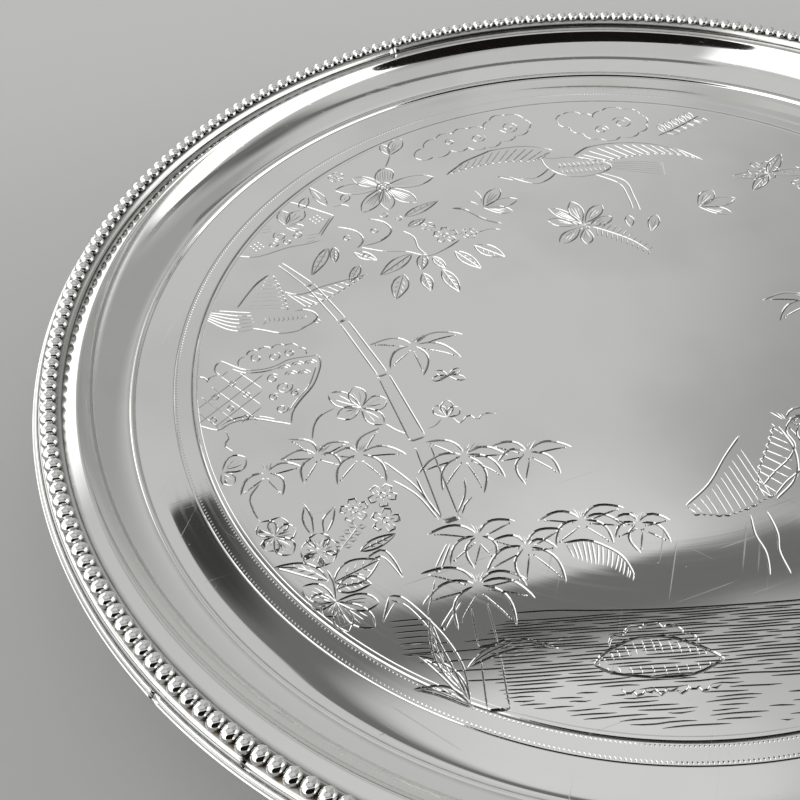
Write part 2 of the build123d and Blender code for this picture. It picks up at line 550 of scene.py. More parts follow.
def scallops(e, points, bulge=0.3, width=0.45):
    """Arcs from point to point, each bowed to the left of the way it runs."""
    points = np.array(points)
    for a, b in zip(points[:-1], points[1:]):
        run = b - a
        side = np.array([-run[1], run[0]])
        e.cut([a, a + run * 0.22 + side * bulge * 0.75, a + run * 0.5 + side * bulge,
               a + run * 0.78 + side * bulge * 0.75, b], width, 0.11, 0.8, 1.1)


def hatch(e, first, second, count, reach=(0.0, 0.6), lean=0.1, width=0.3):
    """Strokes from one edge towards another, leaning along it; reach says where they start and stop."""
    near, _ = smooth_path(first, 0.5)
    far, _ = smooth_path(second, 0.5)
    for share in (np.arange(count) + 0.5) / count:
        a = near[round(share * (len(near) - 1))]
        b = far[round(min(1.0, max(0.0, share + lean)) * (len(far) - 1))]
        e.cut([a + (b - a) * reach[0], a + (b - a) * reach[1]], width, 0.08, pitch=2.5)


def wing(e, lead, trail, feathers=14, lean=-0.12):
    """A spread wing: a bold leading edge, scalloped feather tips behind it and a stroke for each feather."""
    e.cut(lead, 0.6, 0.14)
    tips, _ = smooth_path(trail, 0.5)
    tips = tips[np.linspace(0, len(tips) - 1, feathers + 1).round().astype(int)]
    scallops(e, tips, 0.3, 0.4)
    hatch(e, tips, lead, feathers, (0.02, 0.66), lean)
    hatch(e, tips, lead, feathers, (0.45, 0.85), lean)


def strands(e, first, second, count, width=0.4):
    """Curves laid evenly between two others, like tail feathers or folds."""
    for share in np.linspace(0, 1, count):
        e.cut(blend_paths(first, second, share), width, 0.1)


def inside(polygon, points):
    """True for the points inside a closed outline: the even-odd rule, on whole arrays."""
    polygon = np.asarray(polygon)
    x, y = points[:, 0:1], points[:, 1:2]
    x0, y0 = polygon[:, 0], polygon[:, 1]
    x1, y1 = np.roll(x0, -1), np.roll(y0, -1)
    rise = np.where(y1 == y0, 1e-9, y1 - y0)
    crosses = ((y0 > y) != (y1 > y)) & (x < (x1 - x0) * (y - y0) / rise + x0)
    return crosses.sum(1) % 2 == 1


def lattice(e, outline, pitch, angle):
    """Parallel fine lines across a closed outline, at a pitch and an angle."""
    outline = np.asarray(outline, dtype=float)
    a = math.radians(angle)
    along, across = np.array([math.cos(a), math.sin(a)]), np.array([-math.sin(a), math.cos(a)])
    middle = outline.mean(0)
    for offset in np.arange(-20, 20) * pitch:
        t = np.arange(-30, 30, 0.4)
        points = middle + across * offset + along * t[:, None]
        kept = np.flatnonzero(inside(outline, points))
        if len(kept) > 4 and (np.diff(kept) == 1).all():
            e.cut([points[kept[0]], points[kept[-1]]], 0.32, 0.09, 0.6, 3.0)


# ------------------------------------------------------------------ what the well shows

def bamboo(e):
    """A leaning cane with a second one in the water in front, thin shoots, and hanging leaves."""
    stem(e, (-92.3, 38.8), (-83.7, 28.8), 1.4, 2.2)
    stem(e, (-83.4, 28.4), (-74.5, 13.0), 2.3, 2.4)
    stem(e, (-73.9, 12.0), (-64.1, -8.8), 2.4, 2.7)
    stem(e, (-63.8, -9.7), (-56.4, -31.5), 3.0, 4.1, "left")
    stem(e, (-55.2, -34.7), (-50.3, -56.3), 3.7, 3.8, "left right")
    e.cut([(-51.6, -57.9), (-49.6, -57.2), (-48.0, -57.0)], 1.3, 0.18, 1.0)
    stem(e, (-46.0, -80.5), (-45.1, -90.0), 3.6, 4.2, "left right")
    stem(e, (-44.9, -93.0), (-44.6, -104.4), 4.2, 4.5, "left right")
    stem(e, (-51.1, -63.6), (-54.2, -70.5), 0.7, 1.3)
    stem(e, (-50.1, -79.0), (-54.1, -85.2), 0.7, 1.2)
    e.cut([(-55.0, -73.0), (-57.3, -82.0)], 0.4, 0.1, pitch=4.0)
    up = (62, 74, 86, 98, 112)
    leaf_cluster(e, (-55.5, 1.0), [(-67.3, 2.2), (-41.8, 4.0), (-43.0, -4.8), (-53.5, -10.5),
                                   (-62.0, -7.3)],
                 (40, 52, 64, 78, 92))
    leaf_cluster(e, (-81.2, -35.2), [(-90.5, -36.0), (-88.5, -29.2), (-73.3, -31.7), (-75.2, -38.9),
                                     (-84.3, -43.8)], (45, 58, 72, 86))
    leaf_cluster(e, (-93.5, -39.6), [(-84.8, -38.5), (-99.5, -46.0), (-89.5, -46.8)], (70, 90, 110))
    leaf_cluster(e, (-71.0, -35.8), [(-59.3, -36.8), (-77.7, -35.3), (-76.3, -44.8), (-64.6, -45.0),
                                     (-65.6, -27.6)], up)
    leaf_cluster(e, (-45.3, -38.3), [(-54.8, -33.2), (-57.0, -43.2), (-51.3, -49.0), (-41.8, -50.3),
                                     (-36.2, -46.2), (-34.8, -39.2)], (30, 40, 52, 66, 80))
    leaf_cluster(e, (-30.0, -38.8), [(-38.8, -36.0), (-37.5, -41.2), (-31.6, -48.6), (-23.0, -46.4),
                                     (-19.0, -38.0)], (40, 55, 70, 84))
    leaf_cluster(e, (-44.3, -62.3), [(-56.0, -61.0), (-35.5, -58.8), (-51.4, -69.7), (-46.0, -71.0),
                                     (-41.3, -69.0)], up)
    leaf_cluster(e, (-33.8, -66.2), [(-41.3, -63.8), (-43.5, -72.3), (-35.0, -76.3), (-26.5, -76.3),
                                     (-27.0, -67.0), (-25.0, -62.0)], up)
    leaf_cluster(e, (-20.3, -60.0), [(-30.3, -59.2), (-27.2, -66.5), (-14.3, -67.2), (-10.8, -62.5),
                                     (-10.0, -57.2)], up)
    leaf_cluster(e, (-7.7, -62.0), [(-0.3, -61.6), (-13.0, -60.0), (-13.6, -65.5), (-8.7, -70.0),
                                    (-1.5, -67.8)], up)
    leaf_cluster(e, (-45.8, -75.3), [(-58.2, -71.4), (-58.2, -79.3), (-51.0, -86.0), (-38.6, -86.0),
                                     (-33.7, -79.6), (-35.0, -74.5)], (50, 65, 80, 95, 110, 125), 3.4)
    plume = [(-25.5, -65.8), (-20.5, -65.4), (-16.5, -67.3), (-13.0, -70.5), (-11.3, -75.5)]
    fringe = [(-24.5, -69.5), (-20.5, -71.8), (-17.0, -72.8), (-14.5, -74.8), (-12.0, -77.0)]
    e.cut(plume, 0.6, 0.14)
    hatch(e, plume, fringe, 16, (0.0, 1.0), 0.04, 0.5)


def grasses(e):
    """Reeds bent over at the water's edge and thin blades among the canes."""
    reed = [(-65.5, -76.5), (-62.0, -77.5), (-55.0, -86.0), (-51.0, -94.0), (-50.0, -102.0)]
    e.cut(reed, 0.5, 0.13)
    e.cut([(-65.0, -77.6), (-61.5, -79.5), (-56.5, -86.5), (-53.0, -94.5), (-50.2, -102.5)], 0.45, 0.12)
    e.cut([(-65.3, -76.5), (-67.0, -83.0)], 0.6, 0.14)
    e.cut([(-64.2, -78.2), (-66.8, -83.0)], 0.45, 0.12)
    veined_leaf(e, (-50.0, -95.0), (-30.5, -92.0), 2.6, 0.16)
    veined_leaf(e, (-50.0, -103.0), (-60.0, -91.5), 3.0, -0.1)
    veined_leaf(e, (-50.5, -101.0), (-57.0, -82.5), 2.4, 0.08)
    veined_leaf(e, (-49.5, -104.0), (-61.5, -99.0), 2.4, -0.12)
    for start, middle, end in (((-65, -38.5), (-58, -46.5), (-52, -57)),
                               ((-63, -44.5), (-57.5, -49.5), (-53, -57)),
                               ((-46, -45), (-46.2, -50), (-48.5, -55.5)),
                               ((-44.5, -51), (-46.5, -53), (-47.5, -56)),
                               ((-84.5, -49.5), (-82.6, -53.5), (-82.0, -58.5)),
                               ((-84.2, -50), (-84.6, -54.5), (-82.4, -59)),
                               ((-77, -51), (-77.5, -55), (-79, -58.5)),
                               ((-77.2, -51), (-79.8, -54.5), (-79.6, -58.8)),
                               ((-57.5, -44), (-56.0, -49), (-53.5, -55))):
        e.cut([start, middle, end], 0.5, 0.13)


def vines(e):
    """Three-part leaves on curling stems around the cane, and a small insect."""
    for tip, width in (((-78.5, -14.5), 5.0), ((-71.6, -12.6), 4.6), ((-63.2, -18.0), 5.0),
                       ((-76.3, -23.0), 4.4), ((-64.5, -26.5), 4.4)):
        petal(e, (-70.0, -20.3), tip, width, 2)
    e.cut([(-76.5, -19.5), (-80.2, -21.8), (-82, -25), (-82.5, -30)])
    e.cut([(-64, -26.3), (-61.5, -28.7), (-59, -30)])
    for tip, width in (((-51.5, -21.5), 3.4), ((-48.0, -19.5), 3.2), ((-45.2, -22.3), 3.2)):
        petal(e, (-48.5, -25.5), tip, width, 1)
    e.cut([(-47, -25.8), (-45.5, -27.8), (-43.0, -25.3), (-41, -27), (-39.3, -25.2), (-36, -25.4)], 0.4,
          0.1)
    e.cut([(-54, -29), (-51.7, -28), (-49.8, -25.8)], 0.4, 0.1)
    petal(e, (-104.5, -38.2), (-98.8, -34.0), 5.5, 3)
    petal(e, (-104.5, -38.2), (-101.5, -42.5), 3.6, 2)
    e.cut([(-104.5, -25), (-103.4, -27.5), (-104.4, -29.8), (-102.0, -32.0)], 0.4, 0.1)
    e.cut([(-95, -42.5), (-97.2, -46.5), (-96.5, -50), (-94.5, -54)], 0.45, 0.11)
    for tip in ((-51.6, -12.4), (-50.4, -9.2), (-42.4, -12.8), (-43.4, -8.8)):
        petal(e, (-47.0, -11.0), tip, 1.9, 0, 0.4)
    e.cut([(-49.6, -12.4), (-47, -11), (-44.6, -9.6)], 0.9, 0.15)


def flower_bed(e):
    """A pansy, small blossoms and broad veined leaves at the lower left."""
    for tip, width in (((-94.6, -54.2), 5.0), ((-89.8, -53.0), 5.0), ((-86.0, -56.6), 4.6),
                       ((-92.5, -62.5), 4.6), ((-86.8, -63.8), 4.8)):
        petal(e, (-91.0, -58.5), tip, width, 3)
    for k, size in enumerate((5.2, 4.6, 4.6, 4.2, 4.2)):
        a = math.radians(95 + 72 * k)
        petal(e, (-80.5 + 0.6 * math.cos(a), -63.5 + 0.6 * math.sin(a)),
              (-80.5 + size * math.cos(a), -63.5 + size * math.sin(a)), 5.2, 3)
    blossom(e, (-72.5, -52.5), 3.6, 5, 100)
    blossom(e, (-65.8, -48.7), 3.6, 5, 60)
    blossom(e, (-65.3, -56.0), 3.6, 5, 80)
    e.cut([(-76.0, -63.5), (-73.5, -60.0), (-71.5, -56.8)], 0.35, 0.09)
    for k in range(4):
        x, y = -75.3 + 1.1 * k, -62.6 + 1.7 * k
        petal(e, (x, y), (x - 2.2, y + 1.2), 1.2, 0, 0.35)
        petal(e, (x, y), (x + 2.4, y + 0.2), 1.2, 0, 0.35)
    veined_leaf(e, (-71.5, -64.2), (-63.0, -60.0), 2.6)
    e.cut([(-70.5, -66.5), (-66.5, -64.2), (-64.0, -67.0), (-62.0, -72.0)], 0.5, 0.13)
    e.cut([(-70.0, -68.0), (-66.5, -66.0), (-62.2, -72.0)], 0.4, 0.1)
    veined_leaf(e, (-77.5, -72.0), (-67.0, -66.8), 6.4)
    veined_leaf(e, (-78.5, -71.5), (-91.0, -67.0), 3.2, -0.1)
    veined_leaf(e, (-77.0, -74.0), (-69.0, -73.0), 4.2, 0.1)
    for tip, width in (((-84.6, -72.6), 4.6), ((-83.2, -76.6), 4.2), ((-79.6, -80.4), 4.2),
                       ((-74.4, -84.6), 4.4), ((-68.6, -84.0), 4.8), ((-67.5, -78.0), 4.4)):
        petal(e, (-77.0, -77.0), tip, width, 3, 0.5)
    e.cut([(-77.0, -77.0), (-77.6, -72.0), (-79.0, -68.5)], 0.5, 0.12)


def flying_bird(e):
    """A plump bird in flight on the left, wings spread and tail fanned."""
    wing(e, [(-95.3, 34.5), (-98.8, 30.8), (-101.6, 26.0), (-104.0, 20.8)],
         [(-94.6, 33.8), (-92.2, 27.5), (-90.8, 22.8), (-90.0, 18.5)], 9, 0.1)
    wing(e, [(-91.0, 26.5), (-88, 25), (-84, 25.5), (-80.5, 27.5), (-74, 29.6), (-66.8, 31.7)],
         [(-85.0, 18.6), (-80, 20.8), (-76, 23.6), (-72, 26.7), (-66.8, 31.5)], 12, -0.05)
    strands(e, [(-98.0, 12.0), (-103.0, 11.4), (-107.5, 13.2), (-112.4, 17.0)],
            [(-100.0, 18.6), (-104.0, 19.2), (-108.0, 20.0), (-111.5, 20.4)], 6)
    e.cut([(-99.5, 12.2), (-95.5, 10.8), (-91.5, 9.5), (-87, 9.9), (-84.4, 11.6), (-82.0, 13.4),
           (-81.3, 15.4), (-82.8, 17.4), (-85.4, 18.4), (-88.0, 18.0)], 0.55, 0.13)
    e.cut([(-82.2, 12.9), (-80.0, 12.4), (-81.4, 14.4)], 0.4, 0.1)
    spiral(e, (-84.3, 15.2), 0.6, 1.0, 0, 1, 0.35)
    for k in range(9):
        x = -96.5 + 1.3 * k
        e.cut([(x, 13.2 + 0.15 * k), (x + 0.9, 14.4), (x + 0.3, 16.4)], 0.3, 0.07, pitch=1.6)


def panels(e):
    """Two small panels of pattern against the ring: one waisted, one like an open fan."""
    top = [(-107.3, 0.3), (-104, -2), (-100.5, -3.8), (-96, -3.9), (-92.5, -3), (-88.5, -0.8), (-81, 0)]
    right = [(-81, 0), (-80.4, -4), (-82.3, -11), (-85.5, -16), (-87.5, -20), (-87.8, -24.2)]
    bottom = [(-87.8, -24.2), (-92, -23), (-96, -21.8), (-100, -21.5), (-103.5, -22.5), (-106.5, -24.5),
              (-111.5, -22.5)]
    for edge, shift in ((top, (0, -1.1)), (right, (-1.1, 0)), (bottom, (0, 1.0))):
        e.cut(edge, 0.5, 0.12)
        e.cut(np.array(edge)[1:-1] + shift, 0.35, 0.1)
    scallops(e, [(-107.3, 0.0), (-107.0, -5.2), (-110.3, -7.6), (-113.6, -5.6)], -0.3)
    scallops(e, [(-101.8, -2.6), (-100.4, 1.4), (-97.4, 3.2), (-93.8, 3.4), (-90.2, 4.4), (-86.6, 3.2),
                 (-84.4, 0.4)], 0.35)
    spiral(e, (-97.6, 0.4), 1.8, 1.3, 90)
    spiral(e, (-93.0, 0.6), 1.9, 1.3, 60, -1)
    spiral(e, (-88.6, 1.6), 1.7, 1.3, 90)
    field = [(-105.5, -3.5), (-99.5, -5.6), (-95.5, -5.6), (-95.5, -22.6), (-101.0, -22.8), (-105.8, -24.4),
             (-111.6, -22.0), (-112.6, -14.0), (-109.0, -9.0)]
    lattice(e, field, 4.1, 45)
    lattice(e, field, 4.1, -45)
    for cx, cy in ((-103.7, -8.6), (-99.7, -13.0), (-103.7, -17.4), (-99.5, -21.0), (-107.8, -13.0),
                   (-107.8, -21.0)):
        side = 1.1
        e.cut([(cx - side, cy), (cx, cy + side)], 0.4, 0.11, 0.4)
        e.cut([(cx, cy + side), (cx + side, cy)], 0.4, 0.11, 0.4)
        e.cut([(cx + side, cy), (cx, cy - side)], 0.4, 0.11, 0.4)
        e.cut([(cx, cy - side), (cx - side, cy)], 0.4, 0.11, 0.4)
    for centre, radius, sense in (((-93.0, -7.7), 1.8, 1), ((-90.0, -11.0), 2.5, -1),
                                  ((-86.9, -13.4), 1.4, 1), ((-92.5, -14.4), 1.5, 1),
                                  ((-90.3, -18.6), 1.8, -1)):
        spiral(e, centre, radius, 1.5, 40, sense)
    for cx, cy in ((-86.5, -3.6), (-83.0, -3.4), (-88.2, -7.0), (-84.7, -7.0), (-90.0, -4.6)):
        for size in (1.7, 0.9):
            a = np.linspace(0.1, math.pi - 0.1, 6)
            e.cut(np.stack([cx + size * np.cos(a), cy + size * np.sin(a)], 1), 0.35, 0.09, 0.5, 0.7)

    outer = [(-90.0, 68.6), (-83.0, 64.4), (-76.2, 60.0), (-78.4, 55.5), (-80.4, 50.4)]
    e.cut(outer[:3], 0.55, 0.13)
    e.cut(outer[2:], 0.5, 0.12)
    e.cut([(-77.3, 59.5), (-79.3, 55.2), (-81.2, 51.0)], 0.4, 0.1)
    e.cut([(-80.0, 48.8), (-84.5, 47.4), (-90, 46.4), (-97, 43.6), (-101, 43.0), (-105.4, 43.9)], 0.55,
          0.13)
    for k in range(3):
        e.cut([(-80.6 - 0.3 * k, 52.2 - 1.5 * k), (-85.4, 51.0 - 1.5 * k)], 0.4, 0.1)
        e.cut([(-94.5, 57.4 - 1.4 * k), (-98.4 - 0.6 * k, 56.8 - 1.4 * k)], 0.4, 0.1)
    for cx, cy in ((-81.8, 58.8), (-99.5, 47.6)):
        offsets = np.stack(np.meshgrid(np.arange(-1, 2), np.arange(-1, 2)), -1).reshape(-1, 2) * 1.35
        for dx, dy in offsets @ np.array([[0.8, 0.6], [-0.6, 0.8]]):
            e.cut([(cx + dx - 0.4, cy + dy - 0.2), (cx + dx + 0.4, cy + dy + 0.2)], 0.7, 0.13, 0.4)
    petal(e, (-91.0, 57.0), (-85.5, 64.0), 5.0, 2)
    petal(e, (-91.0, 57.0), (-92.5, 64.5), 4.0, 2)
    petal(e, (-91.0, 56.0), (-85.0, 55.0), 3.4, 2)
    for centre, radius, sense in (((-92.6, 52.0), 2.4, 1), ((-87.6, 51.8), 1.8, -1),
                                  ((-94.6, 48.2), 1.9, -1), ((-90.2, 49.0), 1.5, 1)):
        spiral(e, centre, radius, 1.4, 100, sense)


def upper_flowers(e):
    """A six-petalled flower with its bud, a trailing branch of berries and leaves, and a small rose."""
    for tip, width in (((-44.3, 76.5), 5.6), ((-76.0, 73.0), 5.6), ((-67.5, 60.5), 5.2),
                       ((-59.2, 61.0), 4.8), ((-50.5, 63.8), 5.2), ((-70.5, 79.0), 4.6)):
        petal(e, (-60.4, 73.0), tip, width, 4, 0.5)
    for radius in (2.3, 1.1):
        a = np.linspace(0, 2 * math.pi, 10)
        e.cut(np.stack([-60.4 + radius * np.cos(a), 73 + radius * np.sin(a)], 1), 0.45, 0.12, 0.3, 0.7)
    e.cut([(-63.0, 76.6), (-62.6, 80.5), (-60.0, 83.0), (-57.2, 81.0), (-57.6, 76.4)], 0.5, 0.12)
    hatch(e, [(-62.6, 80.2), (-60.0, 82.6), (-57.4, 80.6)], [(-62.4, 76.0), (-60.2, 75.6), (-58.0, 76.0)],
          6, (0.0, 1.0), 0.0)
    e.cut([(-59.6, 83.2), (-58.4, 87.0), (-57.6, 90.5)], 0.45, 0.11)
    petal(e, (-57.8, 90.0), (-54.0, 99.5), 4.6, 3)
    petal(e, (-57.8, 90.0), (-60.4, 96.5), 3.0, 1)
    blossom(e, (-75.5, 80.0), 2.8, 5, 30)
    for base, tip in (((-84.0, 75.5), (-78.4, 65.4)), ((-84.4, 70.8), (-86.6, 64.6)),
                      ((-73.5, 66.0), (-72.0, 71.0))):
        petal(e, base, tip, 3.0, 1)
    e.cut([(-76.5, 64.4), (-73.6, 65.4), (-71.4, 64.2)], 0.45, 0.11)

    e.cut([(-66.5, 57.5), (-61.5, 55.5), (-59, 51), (-62.0, 46.6), (-67.5, 44.5)], 0.6, 0.14)
    e.cut([(-75.5, 54.5), (-69.8, 51.8), (-67.6, 47.4), (-69.5, 43.5)], 0.6, 0.14)
    e.cut([(-55.5, 50.3), (-52.5, 47), (-51.5, 42), (-49, 38)], 0.5, 0.12)
    for k, (cx, cy) in enumerate(((-64.2, 51.6), (-72.3, 48.6), (-56.8, 56.4), (-60.8, 58.8),
                                  (-66.6, 40.0))):
        spiral(e, (cx, cy), 1.5, 1.2, 60 * k, 1 if k % 2 else -1, 0.45)
    for base, tip, width in (((-55, 57), (-43.7, 64.2), 3.2), ((-54, 52), (-48.3, 55.8), 2.6),
                             ((-78, 45), (-83, 32.6), 3.4), ((-76.4, 45), (-76.2, 37.5), 2.6),
                             ((-70.5, 42), (-63.7, 37.5), 3.0), ((-53.5, 39.4), (-63.3, 30.5), 4.2),
                             ((-50.2, 39), (-51.2, 31.6), 3.2), ((-56.4, 30.5), (-59.2, 19.8), 4.8),
                             ((-50.8, 30.4), (-49, 22.3), 3.2), ((-45.2, 31.5), (-41, 21), 3.6),
                             ((-35, 41.4), (-26.6, 35), 4.6), ((-41, 39.4), (-34, 30.5), 3.6),
                             ((-69.0, 36.0), (-72.0, 28.6), 2.8), ((-47.6, 37.5), (-44.0, 31.6), 2.4)):
        veined_leaf(e, base, tip, width)
    e.cut([(-68.5, 44), (-62, 41.5), (-55, 40.5), (-49, 38), (-43.5, 40.5), (-38.6, 44.5)], 0.45, 0.11)
    blossom(e, (-43, 47), 3.8, 5, 20)
    blossom(e, (-36, 47), 2.7, 6, 0, 0.4)
    blossom(e, (-47.8, 51.5), 2.2, 5, 70)
    e.cut([(-33.2, 47.0), (-30, 48.4), (-26.5, 47.8)], 0.45, 0.11)


def crane_and_clouds(e):
    """A long-necked bird on the wing at the top, among scalloped clouds, with a butterfly below it."""
    wing(e, [(-40.5, 77), (-37, 80.5), (-34, 83.5), (-28, 87), (-24, 89), (-16, 90), (-10, 89), (-5, 86.5)],
         [(-40.0, 77), (-34, 79.2), (-28, 80.6), (-21, 81.6), (-14, 81.0), (-9, 81.5)], 14, 0.12)
    wing(e, [(1.0, 82.5), (6, 86.6), (12, 88), (18, 88), (26, 86.6), (34, 82.5), (41, 75.5)],
         [(6.0, 79.0), (12, 78.4), (18, 79.6), (24, 80.2), (30, 79.8), (36, 78), (40.6, 75.5)], 15, -0.12)
    strands(e, [(11, 74.5), (17, 72.6), (22, 71.0), (28, 69.6)],
            [(12, 77.5), (18, 77.4), (23, 76.8), (28.5, 75.2)], 6)
    e.cut([(-9.5, 83), (-5.5, 82.0), (-1, 82.2), (4, 80.6), (9.5, 78.4), (12.0, 76.0), (10.0, 73.4),
           (4.5, 71.6), (-1, 71.6), (-5.5, 74.0), (-8.5, 78.0), (-9.5, 83)], 0.5, 0.12)
    e.cut([(-5.5, 74.5), (-8.6, 71.0), (-12.6, 69.2), (-16.6, 70.8), (-19.6, 73.0)], 0.5, 0.12)
    e.cut([(-7.4, 77.0), (-10.4, 73.6), (-13.4, 72.0), (-16.8, 72.8)], 0.45, 0.11)
    e.cut([(-19.4, 73.2), (-24.5, 74.3), (-19.6, 71.8)], 0.45, 0.11)
    spiral(e, (-16.9, 71.8), 0.55, 1.0, 0, 1, 0.35)
    for k in range(10):
        x = -5.0 + 1.5 * k
        e.cut([(x, 76.2 + 0.2 * (k % 3)), (x + 1.2, 77.6), (x + 0.6, 79.4)], 0.3, 0.07, pitch=1.6)
        e.cut([(x + 0.4, 72.8 + 0.2 * (k % 2)), (x + 1.4, 74.2), (x + 1.0, 75.8)], 0.3, 0.07, pitch=1.6)
    e.cut([(8, 72.5), (14.6, 67.5), (15.8, 60), (16.4, 52)], 0.45, 0.11)
    e.cut([(6, 72.0), (12.6, 66.4), (14.0, 60), (14.4, 53)], 0.45, 0.11)

    e.cut([(-40, 59.7), (-36, 58.5), (-31, 53.5), (-25.7, 50.5)], 0.8, 0.15)
    for tip, width in (((-24.6, 68.6), 4.4), ((-19.4, 62.0), 4.2), ((-21.6, 56.0), 3.4)):
        petal(e, (-30.4, 59.0), tip, width, 3)
    e.cut([(-31.0, 60.8), (-30.6, 64.5), (-32.2, 67.8)], 0.3, 0.08)
    e.cut([(-31.8, 60.4), (-33.6, 62.2), (-36.8, 62.8)], 0.3, 0.08)

    left_cloud = [(-49.5, 87.5), (-46.4, 92.6), (-42.2, 97.6), (-36.4, 99.8), (-31, 102.2), (-25.4, 101.0),
                  (-23.6, 105.8), (-18, 108.6), (-12, 105.4), (-11.2, 99.6), (-15.8, 96.4), (-21, 93.8),
                  (-26, 90.8), (-32, 91.4), (-38, 90.4), (-43.6, 87.4), (-49.5, 87.5)]
    scallops(e, left_cloud, 0.26)
    spiral(e, (-17.5, 101.4), 3.5, 1.6, 200)
    spiral(e, (-28.4, 96.4), 2.6, 1.5, 30, -1)
    spiral(e, (-37.6, 95.2), 1.9, 1.4, 80)
    right_cloud = [(-1.0, 103.0), (1.4, 106.6), (7.4, 106.2), (11.2, 103.4), (14.6, 107.2), (21.6, 107.4),
                   (26.8, 103.2), (27.6, 97.8), (24.6, 93.4), (18.2, 91.6), (11.2, 91.2), (6.2, 94.8),
                   (2.4, 98.8), (-1.0, 103.0)]
    scallops(e, right_cloud, 0.26)
    spiral(e, (20.0, 99.4), 3.6, 1.6, 160, -1)
    spiral(e, (12.6, 96.2), 2.5, 1.5, 0)
    for k in range(5):
        x = 33.0 + 2.6 * k
        petal(e, (x, 92.0 + 1.6 * k), (x - 1.6, 97.0 + 1.5 * k), 2.2, 1)
        petal(e, (x, 92.0 + 1.6 * k), (x + 4.6, 91.4 + 1.4 * k), 2.2, 1)
    e.cut([(30.0, 90.4), (37, 94.2), (46, 100.4)], 0.45, 0.11)


def middle_spray(e):
    """A loose spray of petals and fern below the crane."""
    for base, tip, width in (((-2.0, 48), (-3.5, 59), 4.2), ((-3.4, 47.4), (-12, 50.6), 4.0),
                             ((-2.6, 46.4), (-10, 39.2), 4.0), ((-2.0, 48), (-11.0, 56.6), 3.4),
                             ((-1.0, 48), (5.4, 56.6), 4.0), ((0, 46.6), (7.6, 50.2), 3.6),
                             ((-1.2, 45.8), (-2.0, 38.0), 3.6)):
        petal(e, base, tip, width, 3, 0.5)
    blossom(e, (-1.4, 47.0), 1.9, 5, 15)
    for k in range(11):
        share = k / 10
        x, y = 2.0 + 13.0 * share, 45.5 - 12.0 * share**1.3
        e.cut([(x, y), (x + 2.8 - share, y + 3.6 - 1.4 * share)], 0.4, 0.1)
        e.cut([(x, y), (x - 0.6, y - 4.4 + 2.0 * share)], 0.4, 0.1)
    e.cut([(0.5, 46.2), (6, 42.6), (11, 38.6), (15, 33.4)], 0.45, 0.11)
    petal(e, (17.5, 42.0), (20.5, 50.0), 3.2, 2)
    petal(e, (12.0, 44.6), (12.4, 50.4), 2.6, 1)


def standing_heron(e, x, y, turn=1):
    """A wader at rest: raised wing, long neck, slender legs."""
    def at(points):
        """The bird's own points, mirrored if turn is -1 and shifted to its place."""
        return [(x + turn * a, y + b) for a, b in points]

    wing(e, at([(-8, 14), (-9.6, 6), (-7.4, -2), (-1.0, -8)]),
         at([(-6.6, 15), (-3.0, 8), (0.6, 2), (3.0, -5)]), 9, 0.08)
    wing(e, at([(2, 12), (7, 6), (13, -2), (20, -8)]), at([(-1, -6), (5, -9), (11, -11), (19, -10)]),
         12, 0.05)
    e.cut(at([(-1, -7), (-5, -3), (-10, 1), (-12.6, 6), (-11.6, 11), (-14.0, 14.6), (-17.4, 14.4)]),
          0.5, 0.12)
    e.cut(at([(1, -4), (-3, 0), (-7.8, 4), (-10.2, 8), (-9.4, 12.4), (-12.6, 16.4), (-16.6, 15.6)]),
          0.5, 0.12)
    e.cut(at([(-16.8, 15.0), (-24.0, 12.6), (-17.0, 13.8)]), 0.45, 0.12)
    e.cut(at([(2, -11), (1.4, -17), (2.4, -22), (1.6, -28)]), 0.5, 0.12)
    e.cut(at([(6, -11.6), (6.4, -17), (5.4, -22), (6.2, -28)]), 0.5, 0.12)


def rocks_and_water(e):
    """Close ripple lines from the shore to the ring, and a low rock with its reflection."""
    e.cut([(-38.5, -82.9), (-30, -83), (-20, -83.8), (-5, -84.5), (20, -84.6), (45, -83.6), (62, -83.0)],
          0.4, 0.1)
    for row in np.arange(0, 37):
        y = -84.9 - 0.62 * row - 0.006 * row**2
        reach = math.sqrt(max(0.0, 111.8**2 - y**2))
        x = max(-43.0 - 0.9 * (row % 5), -reach) + e.luck.uniform(0, 3)
        if y < -88 and row % 3 == 0:
            x = max(-reach + 1.0, -66.0) + e.luck.uniform(0, 4)
        end = min(72.0, reach - 1.0)
        while x < end - 3:
            length = e.luck.uniform(8, 26) * (1.0 if row < 22 else 0.55)
            stop = min(end, x + length)
            t = np.linspace(0, 1, 4)
            wave = e.luck.uniform(-0.16, 0.16, 4)
            e.cut(np.stack([x + (stop - x) * t, y + wave], 1), 0.34, 0.085, 3.0, 2.6)
            x = stop + e.luck.uniform(0.8, 3.2) * (1.0 if row < 22 else 3.5)
    for k in range(7):
        y = -83.0 - 1.4 * k
        e.cut([(-66.0 + 0.5 * k, y), (-60.0, y + 0.2), (-56.5, y)], 0.34, 0.08, 2.0, 2.6)
    back = [(-24.0, -96.4), (-21.5, -94.0), (-17.5, -92.0), (-13, -90.6), (-7, -91.2), (-1, -94.0),
            (3, -97.0)]
    belly = [(-24.0, -96.4), (-20.6, -98.4), (-15, -99.6), (-9, -100.2), (-3, -99.6), (3, -97.0)]
    e.cut(back, 0.7, 0.16)
    e.cut(belly, 0.6, 0.14)
    hatch(e, back, belly, 16, (0.06, 0.42), 0.05, 0.4)
    hatch(e, belly, back, 12, (0.06, 0.3), -0.05, 0.35)
    scallops(e, [(-20.0, -92.4), (-16.5, -90.0), (-12.5, -88.6), (-8.0, -88.8), (-4.0, -90.6),
                 (-1.5, -93.0)], 0.3, 0.5)
    for k in range(9):
        x = -19.5 + 2.2 * k
        e.cut([(x, -102.0 - 0.5 * (k % 3)), (x + 1.2, -103.4 - 0.6 * (k % 2)), (x + 3.0, -102.4)],
              0.5, 0.12)


